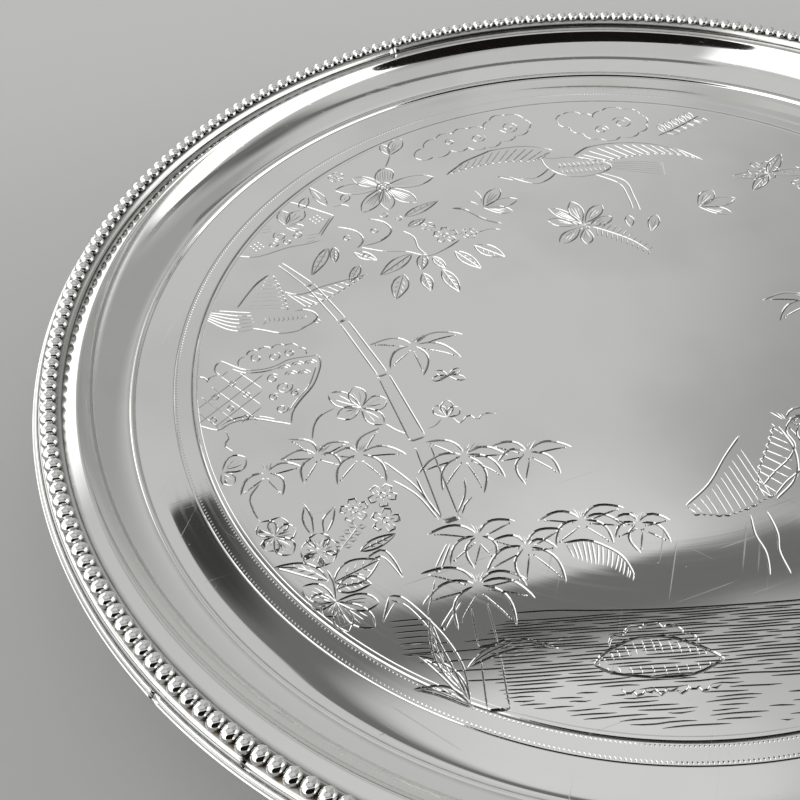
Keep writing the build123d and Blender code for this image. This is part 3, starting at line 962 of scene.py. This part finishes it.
def unseen_side(e):
    """The far right of the well: the left's canes, blossoms, panels and bird, mirrored and turned a
    little, with a few flowers of its own above them."""
    mirrored = Engraving()
    for draw in (bamboo, flower_bed, panels, flying_bird):
        draw(mirrored)
    turn = math.radians(-7.0)
    spin = np.array([[-math.cos(turn), math.sin(turn)], [math.sin(turn), math.cos(turn)]])
    for cuts in mirrored.lines:
        points = cuts[:, :2] @ spin
        if (points[:, 0] > 30).all() and (np.hypot(points[:, 0], points[:, 1]) < 113.0).all():
            e.lines.append(np.column_stack([points, cuts[:, 2:]]))
    for path, long_way, short_way, depth in mirrored.pits:
        points = path @ spin
        if (points[:, 0] > 30).all() and (np.hypot(points[:, 0], points[:, 1]) < 113.0).all():
            e.pits.append((points, long_way @ spin, short_way @ spin, depth))
    blossom(e, (58, 68), 5.0, 6, 0)
    blossom(e, (68, 60), 3.4, 5, 20)
    for tip in ((52, 58), (66, 76), (48, 66), (76, 66)):
        veined_leaf(e, (59, 66), tip, 3.6)
    for tip, width in (((40, 60), 4.4), ((46, 55), 4.2), ((43, 48), 3.4)):
        petal(e, (34, 52), tip, width, 3)


def engraved_rings(e):
    """The bold ring round the picture and the fine toothed ring at the foot of the slope."""
    e.ring(114.5, 0.85, 0.26, 360)
    e.ring(113.3, 0.3, 0.08, 360)
    e.ring(119.35, 0.45, 0.15, 360)
    count = 760
    a = np.linspace(0, 2 * math.pi, count, endpoint=False)
    out = np.stack([np.cos(a), np.sin(a)], 1)
    along = np.stack([-np.sin(a), np.cos(a)], 1)
    lean = math.radians(25)
    long_way = (out * math.cos(lean) + along * math.sin(lean)) * 0.42
    short_way = (along * math.cos(lean) - out * math.sin(lean)) * 0.22
    e.pits.append((out * 118.62, long_way, short_way, np.full(count, 0.16)))
    low = (np.degrees(a) > 200) & (np.degrees(a) < 330)
    e.pits.append((out[low] * 115.3, long_way[low] * 0.8, short_way[low], np.full(low.sum(), 0.15)))


def engrave():
    """Draws the whole picture and gives the finished collection of cuts."""
    e = Engraving()
    engraved_rings(e)
    for draw in (bamboo, grasses, vines, flower_bed, flying_bird, panels, upper_flowers, crane_and_clouds,
                 middle_spray, rocks_and_water):
        draw(e)
    standing_heron(e, 24.0, -50.0, -1)
    unseen_side(e)
    return e


# ------------------------------------------------------------------ cuts into the face of the well

def cut_network(e):
    """Points and constraint edges for the cuts: both lips and the bottom line of each, and each pit's rim."""
    points, edges, sunk = [], [], []

    def chain(numbers, closed=False):
        """Joins the numbered points one after the other, and the last to the first if closed."""
        pairs = np.stack([numbers[:-1], numbers[1:]], 1)
        edges.append(pairs)
        if closed:
            edges.append(np.array([[numbers[-1], numbers[0]]]))

    boundary = np.linspace(0, 2 * math.pi, ROUND_STEPS, endpoint=False)
    points.append(WELL_RADIUS * np.stack([np.cos(boundary), np.sin(boundary)], 1))
    sunk.append(np.zeros(ROUND_STEPS))
    chain(np.arange(ROUND_STEPS), True)
    first = ROUND_STEPS
    for cuts in e.lines:
        path, half, depth = cuts[:, :2], cuts[:, 2:3], cuts[:, 3]
        across = sideways(path)
        inner = slice(1, -1)
        count = len(path) - 2
        left, right = path + across * half, path - across * half
        points += [path[:1], path[-1:], left[inner], right[inner], path[inner]]
        sunk += [np.zeros(2 + 2 * count), depth[inner]]
        start, end = first, first + 1
        rows = first + 2 + np.arange(3 * count).reshape(3, count)
        for row in rows:
            chain(np.concatenate([[start], row, [end]]))
        first += 2 + 3 * count
    for radius, width, depth, count in e.rings:
        a = np.linspace(0, 2 * math.pi, count, endpoint=False) + 0.004
        round_points = np.stack([np.cos(a), np.sin(a)], 1)
        for shift, drop in ((-width / 2, 0), (0, depth), (width / 2, 0)):
            points.append(round_points * (radius + shift))
            sunk.append(np.full(count, float(drop)))
            chain(first + np.arange(count), True)
            first += count
    for path, long_way, short_way, depth in e.pits:
        count = len(path)
        points += [path + long_way, path + short_way, path - long_way, path - short_way, path]
        sunk += [np.zeros(4 * count), depth]
        corner = first + np.arange(4 * count).reshape(4, count)
        for k in range(4):
            edges.append(np.stack([corner[k], corner[(k + 1) % 4]], 1))
        first += 5 * count
    return np.vstack(points), np.vstack(edges), np.concatenate(sunk)


def cut_depth(e, points):
    """Depth of the cuts at each point: the deepest V that reaches it, each V rising evenly from its
    bottom line to its lips. Segments are sorted into cells so that only near ones are measured."""
    lines = list(e.lines)
    for radius, width, depth, count in e.rings:
        a = np.linspace(0, 2 * math.pi, count + 1) + 0.004
        ring = np.stack([radius * np.cos(a), radius * np.sin(a)], 1)
        lines.append(np.column_stack([ring, np.full(count + 1, width / 2), np.full(count + 1, depth)]))
    start = np.vstack([cuts[:-1] for cuts in lines])
    end = np.vstack([cuts[1:] for cuts in lines])
    pieces = np.maximum(1, np.ceil(np.hypot(*(end - start)[:, :2].T) / 1.2)).astype(int)
    owner = np.repeat(np.arange(len(start)), pieces)
    order = np.arange(len(owner)) - np.repeat(np.cumsum(pieces) - pieces, pieces)
    share = (order / pieces[owner])[:, None]
    step = (1 / pieces[owner])[:, None]
    run = (end - start)[owner]
    begin = start[owner] + run * share
    finish = start[owner] + run * (share + step)

    cell = 1.6
    wide = 160
    middle = (begin[:, :2] + finish[:, :2]) / 2
    key = (np.floor(middle / cell).astype(int) + wide // 2) @ np.array([wide, 1])
    sort = np.argsort(key, kind="stable")
    begin, finish, key = begin[sort], finish[sort], key[sort]
    home = np.floor(points / cell).astype(int) + wide // 2
    deepest = np.zeros(len(points))
    for dx in (-1, 0, 1):
        for dy in (-1, 0, 1):
            wanted = (home + (dx, dy)) @ np.array([wide, 1])
            low = np.searchsorted(key, wanted, "left")
            high = np.searchsorted(key, wanted, "right")
            for k in range(int((high - low).max())):
                at = np.flatnonzero(low + k < high)
                a, b, p = begin[low[at] + k], finish[low[at] + k], points[at]
                along = b[:, :2] - a[:, :2]
                t = np.clip(((p - a[:, :2]) * along).sum(1) / np.maximum((along**2).sum(1), 1e-9), 0, 1)
                gap = np.hypot(*(p - a[:, :2] - along * t[:, None]).T)
                half = a[:, 2] + (b[:, 2] - a[:, 2]) * t
                depth = a[:, 3] + (b[:, 3] - a[:, 3]) * t
                deepest[at] = np.maximum(deepest[at], depth * (1 - gap / np.maximum(half, 1e-6)))
    return deepest


def engraved_face():
    """The well's upper face as triangles that follow every cut; gives points, triangles, depth and rim."""
    e = engrave()
    points, edges, sunk = cut_network(e)
    coords, _, faces, came_from, _, _ = delaunay_2d_cdt(points.tolist(), edges.tolist(), [], 0, 1e-4, True)
    flat = np.array([tuple(c) for c in coords])
    faces = np.array(faces)
    counts = np.fromiter(map(len, came_from), dtype=int)
    owner = np.repeat(np.arange(len(flat)), counts)
    source = np.concatenate([ids for ids in came_from if ids]).astype(int)
    depth = cut_depth(e, flat)
    np.maximum.at(depth, owner, sunk[source])
    place = np.zeros(len(points), dtype=int)
    place[source] = owner
    rim = place[:ROUND_STEPS]
    depth[depth < 0.012] = 0
    depth[rim] = 0
    a, b, c = (flat[faces[:, k]] for k in range(3))
    turn = (b[:, 0] - a[:, 0]) * (c[:, 1] - a[:, 1]) - (b[:, 1] - a[:, 1]) * (c[:, 0] - a[:, 0])
    faces[turn < 0] = faces[turn < 0][:, ::-1]
    return flat, faces, depth, rim


# ------------------------------------------------------------------ the sheet

def upper_section():
    """Upper face of the sheet outside the well: ramp, sunk step, cavetto, crest and flange."""
    share = np.linspace(0, 1, 8)[:, None]
    ramp_run = RAMP_END[0] - WELL_RADIUS
    ramp = np.hstack([WELL_RADIUS + ramp_run * share, RAMP_END[1] * share**4])
    foot = line(RAMP_END, STEP_FOOT, 4)[1:]
    riser = line((STEP_FOOT[0] + 0.08, STEP_FOOT[1] + 0.06), STEP_LIP, 4)
    lip = arc((STEP_LIP[0] + 0.03, STEP_LIP[1] + 0.03), STEP_OUTER, -math.radians(62), 5)
    step = np.vstack([foot, riser, lip])
    cavetto = arc((STEP_OUTER[0] + 0.08, STEP_OUTER[1]), CREST, CAVETTO_TURN, 16)[:-1]
    crest = arc((CREST[0] - 0.12, CREST[1] - 0.35), (CREST[0] + 0.45, CREST[1] - 0.12), -1.35, 6)
    flange = line((CREST[0] + 0.8, CREST[1] - 0.17), FLANGE, 4)
    edge = line((FLANGE[0] + 0.1, FLANGE[1]), (SHEET_EDGE, FLANGE[1]), 2)
    return np.vstack([ramp, step, cavetto, crest, flange, edge])


def lower_section():
    """Under face, from the edge back to the well: the upper face moved in by the sheet's thickness."""
    t = SHEET_THICKNESS
    under_step = (STEP_OUTER[0] + t * 0.45, STEP_OUTER[1] - t * 0.9)
    under_crest = (CREST[0] + t * 0.85, CREST[1] - t * 1.15)
    cavetto = arc(under_step, under_crest, CAVETTO_TURN * 0.95, 8)[::-1]
    flange = line((SHEET_EDGE, FLANGE[1] - t), (FLANGE[0] + 0.2, FLANGE[1] - t), 2)
    ramp = line((RAMP_END[0], RAMP_END[1] - t), (WELL_RADIUS, -t), 3)
    return np.vstack([flange, cavetto, ramp])


def ring_tarnish(points):
    """Tarnish left in the corners of the section: bumps of the radius at the step, crest and border."""
    radius = np.hypot(points[:, 0], points[:, 1])
    under = points[:, 2] < WELL_TOP - 0.2 * SHEET_THICKNESS + np.interp(radius, (129, 141), (0, 9.5))
    value = np.zeros(len(points))
    for middle, width, strength in ((129.25, 0.12, 0.6), (130.58, 0.1, 0.5), (141.3, 0.22, 0.35),
                                    (145.0, 0.7, 1.0)):
        value = np.maximum(value, strength * np.exp(-((radius - middle) / width) ** 2))
    return np.where(under, np.maximum(value, 0.15), value)


def plate_mesh():
    """The sheet: the engraved face, rings for the section outside it, and the plain under face."""
    angles = np.linspace(0, 2 * math.pi, ROUND_STEPS, endpoint=False)
    flat, triangles, depth, rim = engraved_face()
    face = np.column_stack([flat, WELL_TOP - depth])
    rings = np.vstack([upper_section(), lower_section()])[1:]
    middle_under = line((WELL_RADIUS, -SHEET_THICKNESS), (2.0, -SHEET_THICKNESS), 4)[1:]
    section = np.vstack([rings, middle_under])
    turned = revolve(section, angles)
    first = len(face)
    quads = grid_faces(len(section), ROUND_STEPS, closed=True, first=first)
    step = np.arange(ROUND_STEPS)
    after = (step + 1) % ROUND_STEPS
    seam = np.stack([rim[step], rim[after], first + after, first + step], 1)
    pole = first + len(turned)
    last = first + (len(section) - 1) * ROUND_STEPS
    bottom = np.stack([last + after, np.full_like(step, pole), last + step], 1)
    points = np.vstack([face, turned, [[0, 0, WELL_TOP - SHEET_THICKNESS]]])
    round_faces = [(faces[:, ::-1], True) for faces in (seam, quads, bottom)]
    mesh = build_mesh("engraved_plate", points, [(triangles, False)] + round_faces)
    set_attribute(mesh, "tarnish", np.concatenate([np.clip(depth / 0.25, 0, 1), ring_tarnish(turned),
                                                   [0.2]]))
    return mesh


# ------------------------------------------------------------------ the border

def strip_section():
    """Section of the border strip without its beads: steep face inside, bed under the beads, a thin
    ridge outside them and the hollow beyond it."""
    face = arc((144.75, FLANGE[1]), (145.75, 12.75), -math.radians(22), 7)
    bed = np.array([(146.0, 12.9), (146.6, 12.75), (147.5, 12.6), (148.7, 12.3), (149.25, 12.0)])
    ridge = np.array([(149.4, 11.75), (149.6, 11.62), (149.9, 11.60), (150.05, 11.45)])
    hollow = np.array([(150.1, 11.05), (150.25, 10.92), (150.55, 10.9)])
    base = np.array([(SHEET_EDGE, FLANGE[1])])
    return np.vstack([face, bed, ridge, hollow, base])


def bead_shape():
    """Unit dome of one bead with its centre at the origin: rings of points from the crown down."""
    around = np.linspace(0, 2 * math.pi, BEAD_SIDES, endpoint=False)
    down = np.radians([18.0, 36.0, 54.0, 72.0, 90.0, 115.0])
    x = np.sin(down)[:, None] * np.cos(around)
    y = np.sin(down)[:, None] * np.sin(around)
    z = np.broadcast_to(np.cos(down)[:, None], x.shape)
    points = np.vstack([np.stack([x, y, z], -1).reshape(-1, 3), [[0, 0, 1]]])
    quads = grid_faces(len(down), BEAD_SIDES, closed=True)[:, ::-1]
    ring = np.arange(BEAD_SIDES)
    crown = np.stack([ring, (ring + 1) % BEAD_SIDES, np.full(BEAD_SIDES, len(points) - 1)], 1)
    base = (ring[::-1] + (len(down) - 1) * BEAD_SIDES)[None, :]
    return points, quads, crown, base


def strip_mesh(number):
    """One length of the beaded border: its section carried round a third of the tray, its two ends
    closed, and a row of oval beads set in its bed at an even pitch."""
    start = math.radians(FIRST_SEAM + number * 360 / STRIP_COUNT)
    sweep = 2 * math.pi / STRIP_COUNT
    columns = ROUND_STEPS // STRIP_COUNT + 1
    section = strip_section()
    points = revolve(section, start + np.linspace(0, sweep, columns))
    rows = len(section)
    closing = np.arange(rows) * columns
    quads = grid_faces(rows, columns)[:, ::-1]
    floor_quads = np.stack([np.arange(columns - 1), np.arange(1, columns),
                            (rows - 1) * columns + np.arange(1, columns),
                            (rows - 1) * columns + np.arange(columns - 1)], 1)
    ends = [closing[None, ::-1], (closing + columns - 1)[None, :]]
    unit, bead_quads, crown, base = bead_shape()
    angle = start + (np.arange(BEADS_PER_STRIP) + 0.5) * sweep / BEADS_PER_STRIP
    centre = np.stack([BEAD_CIRCLE * np.cos(angle), BEAD_CIRCLE * np.sin(angle),
                       np.full(BEADS_PER_STRIP, WELL_TOP + BEAD_RISE)], 1)
    outward = np.stack([np.cos(angle), np.sin(angle), 0 * angle], 1)[:, None, :]
    along = np.stack([-np.sin(angle), np.cos(angle), 0 * angle], 1)[:, None, :]
    beads = (centre[:, None, :] + BEAD_HALF_WIDTH * unit[None, :, 0:1] * outward
             + BEAD_HALF_LENGTH * unit[None, :, 1:2] * along
             + BEAD_HALF_HEIGHT * unit[None, :, 2:3] * np.array([0, 0, 1.0])).reshape(-1, 3)
    first = len(points) + np.arange(BEADS_PER_STRIP)[:, None, None] * len(unit)
    faces = [(quads, True), (floor_quads, False)]
    faces += [(end, False) for end in ends]
    for part, soft in ((bead_quads, True), (crown, True), (base, False)):
        faces.append(((part[None] + first).reshape(-1, part.shape[1]), soft))
    mesh = build_mesh(f"beaded_border_{number + 1}", np.vstack([points, beads]), faces)
    on_face = [0.9, 0.55, 0.4, 0.4, 0.45, 0.6, 0.8]
    on_bed = [0.9, 1, 1, 1, 0.9]
    on_ridge = [0.7, 0.15, 0.1, 0.3]
    on_hollow_and_base = [0.7, 0.6, 0.4, 0.2]
    by_row = np.array(on_face + on_bed + on_ridge + on_hollow_and_base)
    by_ring = np.array([0.0, 0.0, 0.0, 0.25, 0.75, 1.0])
    on_bead = np.concatenate([np.repeat(by_ring, BEAD_SIDES), [0.0]])
    set_attribute(mesh, "tarnish", np.concatenate([np.repeat(by_row, columns),
                                                   np.tile(on_bead, BEADS_PER_STRIP)]))
    return mesh


def wire_section():
    """Section of the edge wire: an upper reed, a fine groove and a lower lip."""
    reed = arc((150.6, 10.9), (151.55, 10.35), -math.radians(150), 9)
    lip = arc((151.6, 10.2), (152.0, 9.35), -math.radians(190), 9)
    back = np.array([(151.5, 8.95), (150.6, 8.9)])
    return np.vstack([reed, lip, back])


def wire_mesh():
    """The wire carried almost all the way round, with both ends closed at the butt joint."""
    section = wire_section()
    gap = math.radians(0.12)
    start = math.radians(WIRE_BUTT)
    columns = ROUND_STEPS + 1
    points = revolve(section, start + np.linspace(gap / 2, 2 * math.pi - gap / 2, columns))
    rows = len(section)
    wrapped = grid_faces(rows, columns)[:, ::-1]
    inner = np.stack([np.arange(columns - 1), np.arange(1, columns),
                      (rows - 1) * columns + np.arange(1, columns),
                      (rows - 1) * columns + np.arange(columns - 1)], 1)
    closing = np.arange(rows) * columns
    ends = [closing[None, ::-1], (closing + columns - 1)[None, :]]
    faces = [(wrapped, True), (inner, False)] + [(end, False) for end in ends]
    mesh = build_mesh("reeded_edge_wire", points, faces)
    by_row = np.array([0.5, 0.15, 0, 0, 0, 0, 0, 0.2, 0.7, 0.7, 0.1, 0, 0, 0, 0, 0.1, 0.2, 0.4, 0.5, 0.5])
    set_attribute(mesh, "tarnish", np.repeat(by_row, columns))
    return mesh


plate_finish = silver("plate_silver", "tarnish", dull=(0.10, 0.09, 0.075), polish=0.035, turned=0.25,
                      scratches=0.6,
                      specks=0.6)
border_finish = silver("border_silver", "tarnish", dull=(0.07, 0.055, 0.04), strength=1.0, film=0.06,
                       scratches=0.3,
                       specks=0.3, unevenness=0.00001)
wire_finish = silver("wire_silver", "tarnish", dull=(0.13, 0.11, 0.09), film=0.08, turned=1.0,
                     scratches=0.5,
                     fineness=2600.0)
foot_finish = silver("foot_silver", dull=(0.16, 0.14, 0.11), film=0.75, polish=0.09, scratches=1.0)
add_piece(plate_mesh(), plate_finish, "engraved_plate", "salver_plate")
for number in range(STRIP_COUNT):
    add_piece(strip_mesh(number), border_finish, "beaded_border", f"bead_strip_{number + 1}")
add_piece(wire_mesh(), wire_finish, "edge_wire", "edge_wire")
for number in (1, 2, 3):
    node = bpy.data.objects[f"foot_{number}"]
    for material_slot in node.material_slots:
        material_slot.material = foot_finish


# ------------------------------------------------------------------ table, light and camera

def table():
    """A large pale floor under the soles, with painted shade that makes it a little darker towards the near
    side.
    """
    mesh = bpy.data.meshes.new("pale_floor")
    half = 3.0
    mesh.from_pydata([(-half, -half, 0), (half, -half, 0), (half, half, 0), (-half, half, 0)], [],
                     [(0, 1, 2, 3)])
    floor = bpy.data.objects.new("pale_floor", mesh)
    bpy.context.scene.collection.objects.link(floor)
    material = bpy.data.materials.new("pale_cloth")
    material.use_nodes = True
    shader = material.node_tree.nodes["Principled BSDF"]
    split = material.node_tree.nodes.new("ShaderNodeSeparateXYZ")
    position = material.node_tree.nodes.new("ShaderNodeTexCoord").outputs["Object"]
    material.node_tree.links.new(position, split.inputs[0])
    maths = NodeMaths(material.node_tree)
    # Painted shade: the cloth colour is made darker towards the near side, from 0.61 on the far side to 0.42
    # on the near side
    shade = maths("ADD", 0.42, maths("MULTIPLY", maths.smooth(split.outputs[1], -0.28, 0.26), 0.19))
    material.node_tree.links.new(shade, shader.inputs["Base Color"])
    shader.inputs["Roughness"].default_value = 0.9
    shader.inputs["Specular IOR Level"].default_value = 0.1
    mesh.materials.append(material)


def studio():
    """Soft room light worked out from the direction looked in: a pale dome with bright windows on the
    left and low on the right, dimmer walls on the near and far sides, a far wall that is dark above a
    curved line, and a dark stripe, which is a band at one angle from a fixed axis."""
    world = bpy.data.worlds.new("soft_room")
    bpy.context.scene.world = world
    world.use_nodes = True
    tree = world.node_tree
    tree.nodes.clear()
    maths = NodeMaths(tree)
    direction = tree.nodes.new("ShaderNodeTexCoord").outputs["Generated"]
    split = tree.nodes.new("ShaderNodeSeparateXYZ")
    tree.links.new(direction, split.inputs[0])
    x, y, z = split.outputs
    height = maths("DEGREES", maths("ARCSINE", z))

    def turn_from(azimuth):
        """Degrees of turn from an azimuth, signed."""
        a = math.radians(azimuth)
        along = maths("ADD", maths("MULTIPLY", x, math.cos(a)), maths("MULTIPLY", y, math.sin(a)))
        across = maths("SUBTRACT", maths("MULTIPLY", y, math.cos(a)), maths("MULTIPLY", x, math.sin(a)))
        return maths("DEGREES", maths("ARCTAN2", across, along))

    def patch(azimuth, half_turn, low, high, soft_turn, soft_low, soft_high):
        """Mask of a soft-edged rectangle of the room, in degrees."""
        turn = maths("ABSOLUTE", turn_from(azimuth))
        inside = maths("SUBTRACT", 1.0, maths.smooth(turn, half_turn - soft_turn, half_turn + soft_turn))
        above = maths.smooth(height, low - soft_low, low + soft_low)
        below = maths("SUBTRACT", 1.0, maths.smooth(height, high - soft_high, high + soft_high))
        return maths("MULTIPLY", inside, maths("MULTIPLY", above, below))

    level = maths("ADD", 0.57, maths("MULTIPLY", maths.smooth(height, 55, 75), 0.05))
    patches = (
        # azimuth, half turn, low, high, soft turn, soft low, soft high, strength
        (45, 22, -15, 57, 9, 3, 3, 0.38),
        (300, 14, -10, 32, 8, 6, 6, 0.34),
        (345, 32, -12, 25, 5, 3, 2, 1.8),
        (22, 20, -12, 5, 10, 5, 5, 0.9),
        (206, 34, -6, 58, 5, 4, 4, 1.9),
        (141, 29, -6, 42, 5, 4, 4, 1.6),
        (0, 16, 31, 52, 12, 7, 7, 0.14),
        (69, 13, 51, 56, 7, 3, 1, 0.66),
        (66, 20, 61, 68, 10, 2, 3, 0.68),
    )
    for azimuth, half_turn, low, high, soft_turn, soft_low, soft_high, strength in patches:
        mask = patch(azimuth, half_turn, low, high, soft_turn, soft_low, soft_high)
        change = maths("MULTIPLY", mask, maths("SUBTRACT", strength, level))
        level = maths("ADD", level, change)

    # The far wall is dark above a curved line that drops on its left; beyond the drop it is darkest
    turn = turn_from(92)
    top = maths("SUBTRACT", 58.3, maths("MULTIPLY", maths("MULTIPLY", turn, turn), 0.0063))
    beyond = maths("MAXIMUM", maths("SUBTRACT", turn, 6.0), 0.0)
    foot = maths("SUBTRACT", top, maths("MULTIPLY", maths("MULTIPLY", beyond, beyond), 0.09))
    foot = maths("SUBTRACT", height, maths("MAXIMUM", foot, 50.6))
    fade = maths("SUBTRACT", 1.0, maths.smooth(maths("SUBTRACT", height, top), 2.6, 6.0))
    spread = maths("SUBTRACT", 1.0, maths.smooth(maths("ABSOLUTE", turn_from(84)), 32, 38))
    mask = maths("MULTIPLY", maths("MULTIPLY", maths.smooth(foot, -0.3, 0.3), fade), spread)
    darkest = maths("SUBTRACT", 0.155, maths("MULTIPLY", maths.smooth(turn, 11.0, 15.5), 0.11))
    level = maths("ADD", level, maths("MULTIPLY", mask, maths("SUBTRACT", darkest, level)))

    # The stripe is a band at one angle from this axis, seen on the near and right sides
    axis = (0.0735, 0.6441, 0.7614)
    offset = maths("ADD", maths("MULTIPLY", x, axis[0]), maths("MULTIPLY", y, axis[1]))
    offset = maths("SUBTRACT", maths("ADD", offset, maths("MULTIPLY", z, axis[2])), 0.5256)
    within = maths("SUBTRACT", 1.0, maths.smooth(maths("ABSOLUTE", offset), 0.042, 0.062))
    near_side = maths("SUBTRACT", 1.0, maths.smooth(maths("ABSOLUTE", turn_from(-52)), 66, 80))
    mask = maths("MULTIPLY", within, near_side)
    level = maths("ADD", level, maths("MULTIPLY", mask, maths("SUBTRACT", 0.17, level)))

    background = tree.nodes.new("ShaderNodeBackground")
    background.inputs["Color"].default_value = (0.988, 1.0, 0.982, 1)
    tree.links.new(level, background.inputs["Strength"])
    output = tree.nodes.new("ShaderNodeOutputWorld")
    tree.links.new(background.outputs[0], output.inputs["Surface"])


def dark_card():
    """A dark card behind the camera, seen only in reflections: a rounded rectangle facing the tray,
    whose outline is a superellipse."""
    centre = (90.0, -300.0, 152.0)
    half_width, half_height = 330.0, 138.0
    corners, squareness = 64, 0.6
    angle = np.linspace(0, 2 * math.pi, corners, endpoint=False)
    across = half_width * np.sign(np.cos(angle)) * np.abs(np.cos(angle)) ** squareness
    up = half_height * np.sign(np.sin(angle)) * np.abs(np.sin(angle)) ** squareness
    points = np.stack([centre[0] + across, np.full(corners, centre[1]), centre[2] + WELL_TOP + up], 1)
    card = bpy.data.objects.new("dark_card", build_mesh("dark_card", points,
                                                        [(np.arange(corners)[None], False)]))
    bpy.context.scene.collection.objects.link(card)
    card.visible_camera = False
    card.visible_shadow = False
    card.visible_diffuse = False
    material = bpy.data.materials.new("black_felt")
    material.use_nodes = True
    shader = material.node_tree.nodes["Principled BSDF"]
    shader.inputs["Base Color"].default_value = (0.012, 0.010, 0.009, 1)
    shader.inputs["Roughness"].default_value = 1.0
    shader.inputs["Specular IOR Level"].default_value = 0.0
    card.data.materials.append(material)


def camera():
    """Camera above the near left of the tray, looking level with +Y and down, a little rolled."""
    lens = 47.25
    look_down = 47.37
    roll = -4.01
    place = (-60.0, -200.72, 197.90)
    data = bpy.data.cameras.new("camera")
    data.lens = lens
    data.sensor_width = 36.0
    body = bpy.data.objects.new("camera", data)
    bpy.context.scene.collection.objects.link(body)
    tilt = Euler((math.radians(90 - look_down), 0, 0)).to_matrix()
    turn = Euler((0, 0, math.radians(roll))).to_matrix()
    shift = Matrix.Translation(Vector((place[0], place[1], place[2] + WELL_TOP)) * MM)
    body.matrix_world = shift @ (tilt @ turn).to_4x4()
    bpy.context.scene.camera = body


table()
studio()
dark_card()
camera()
bpy.context.scene.view_settings.view_transform = "Standard"
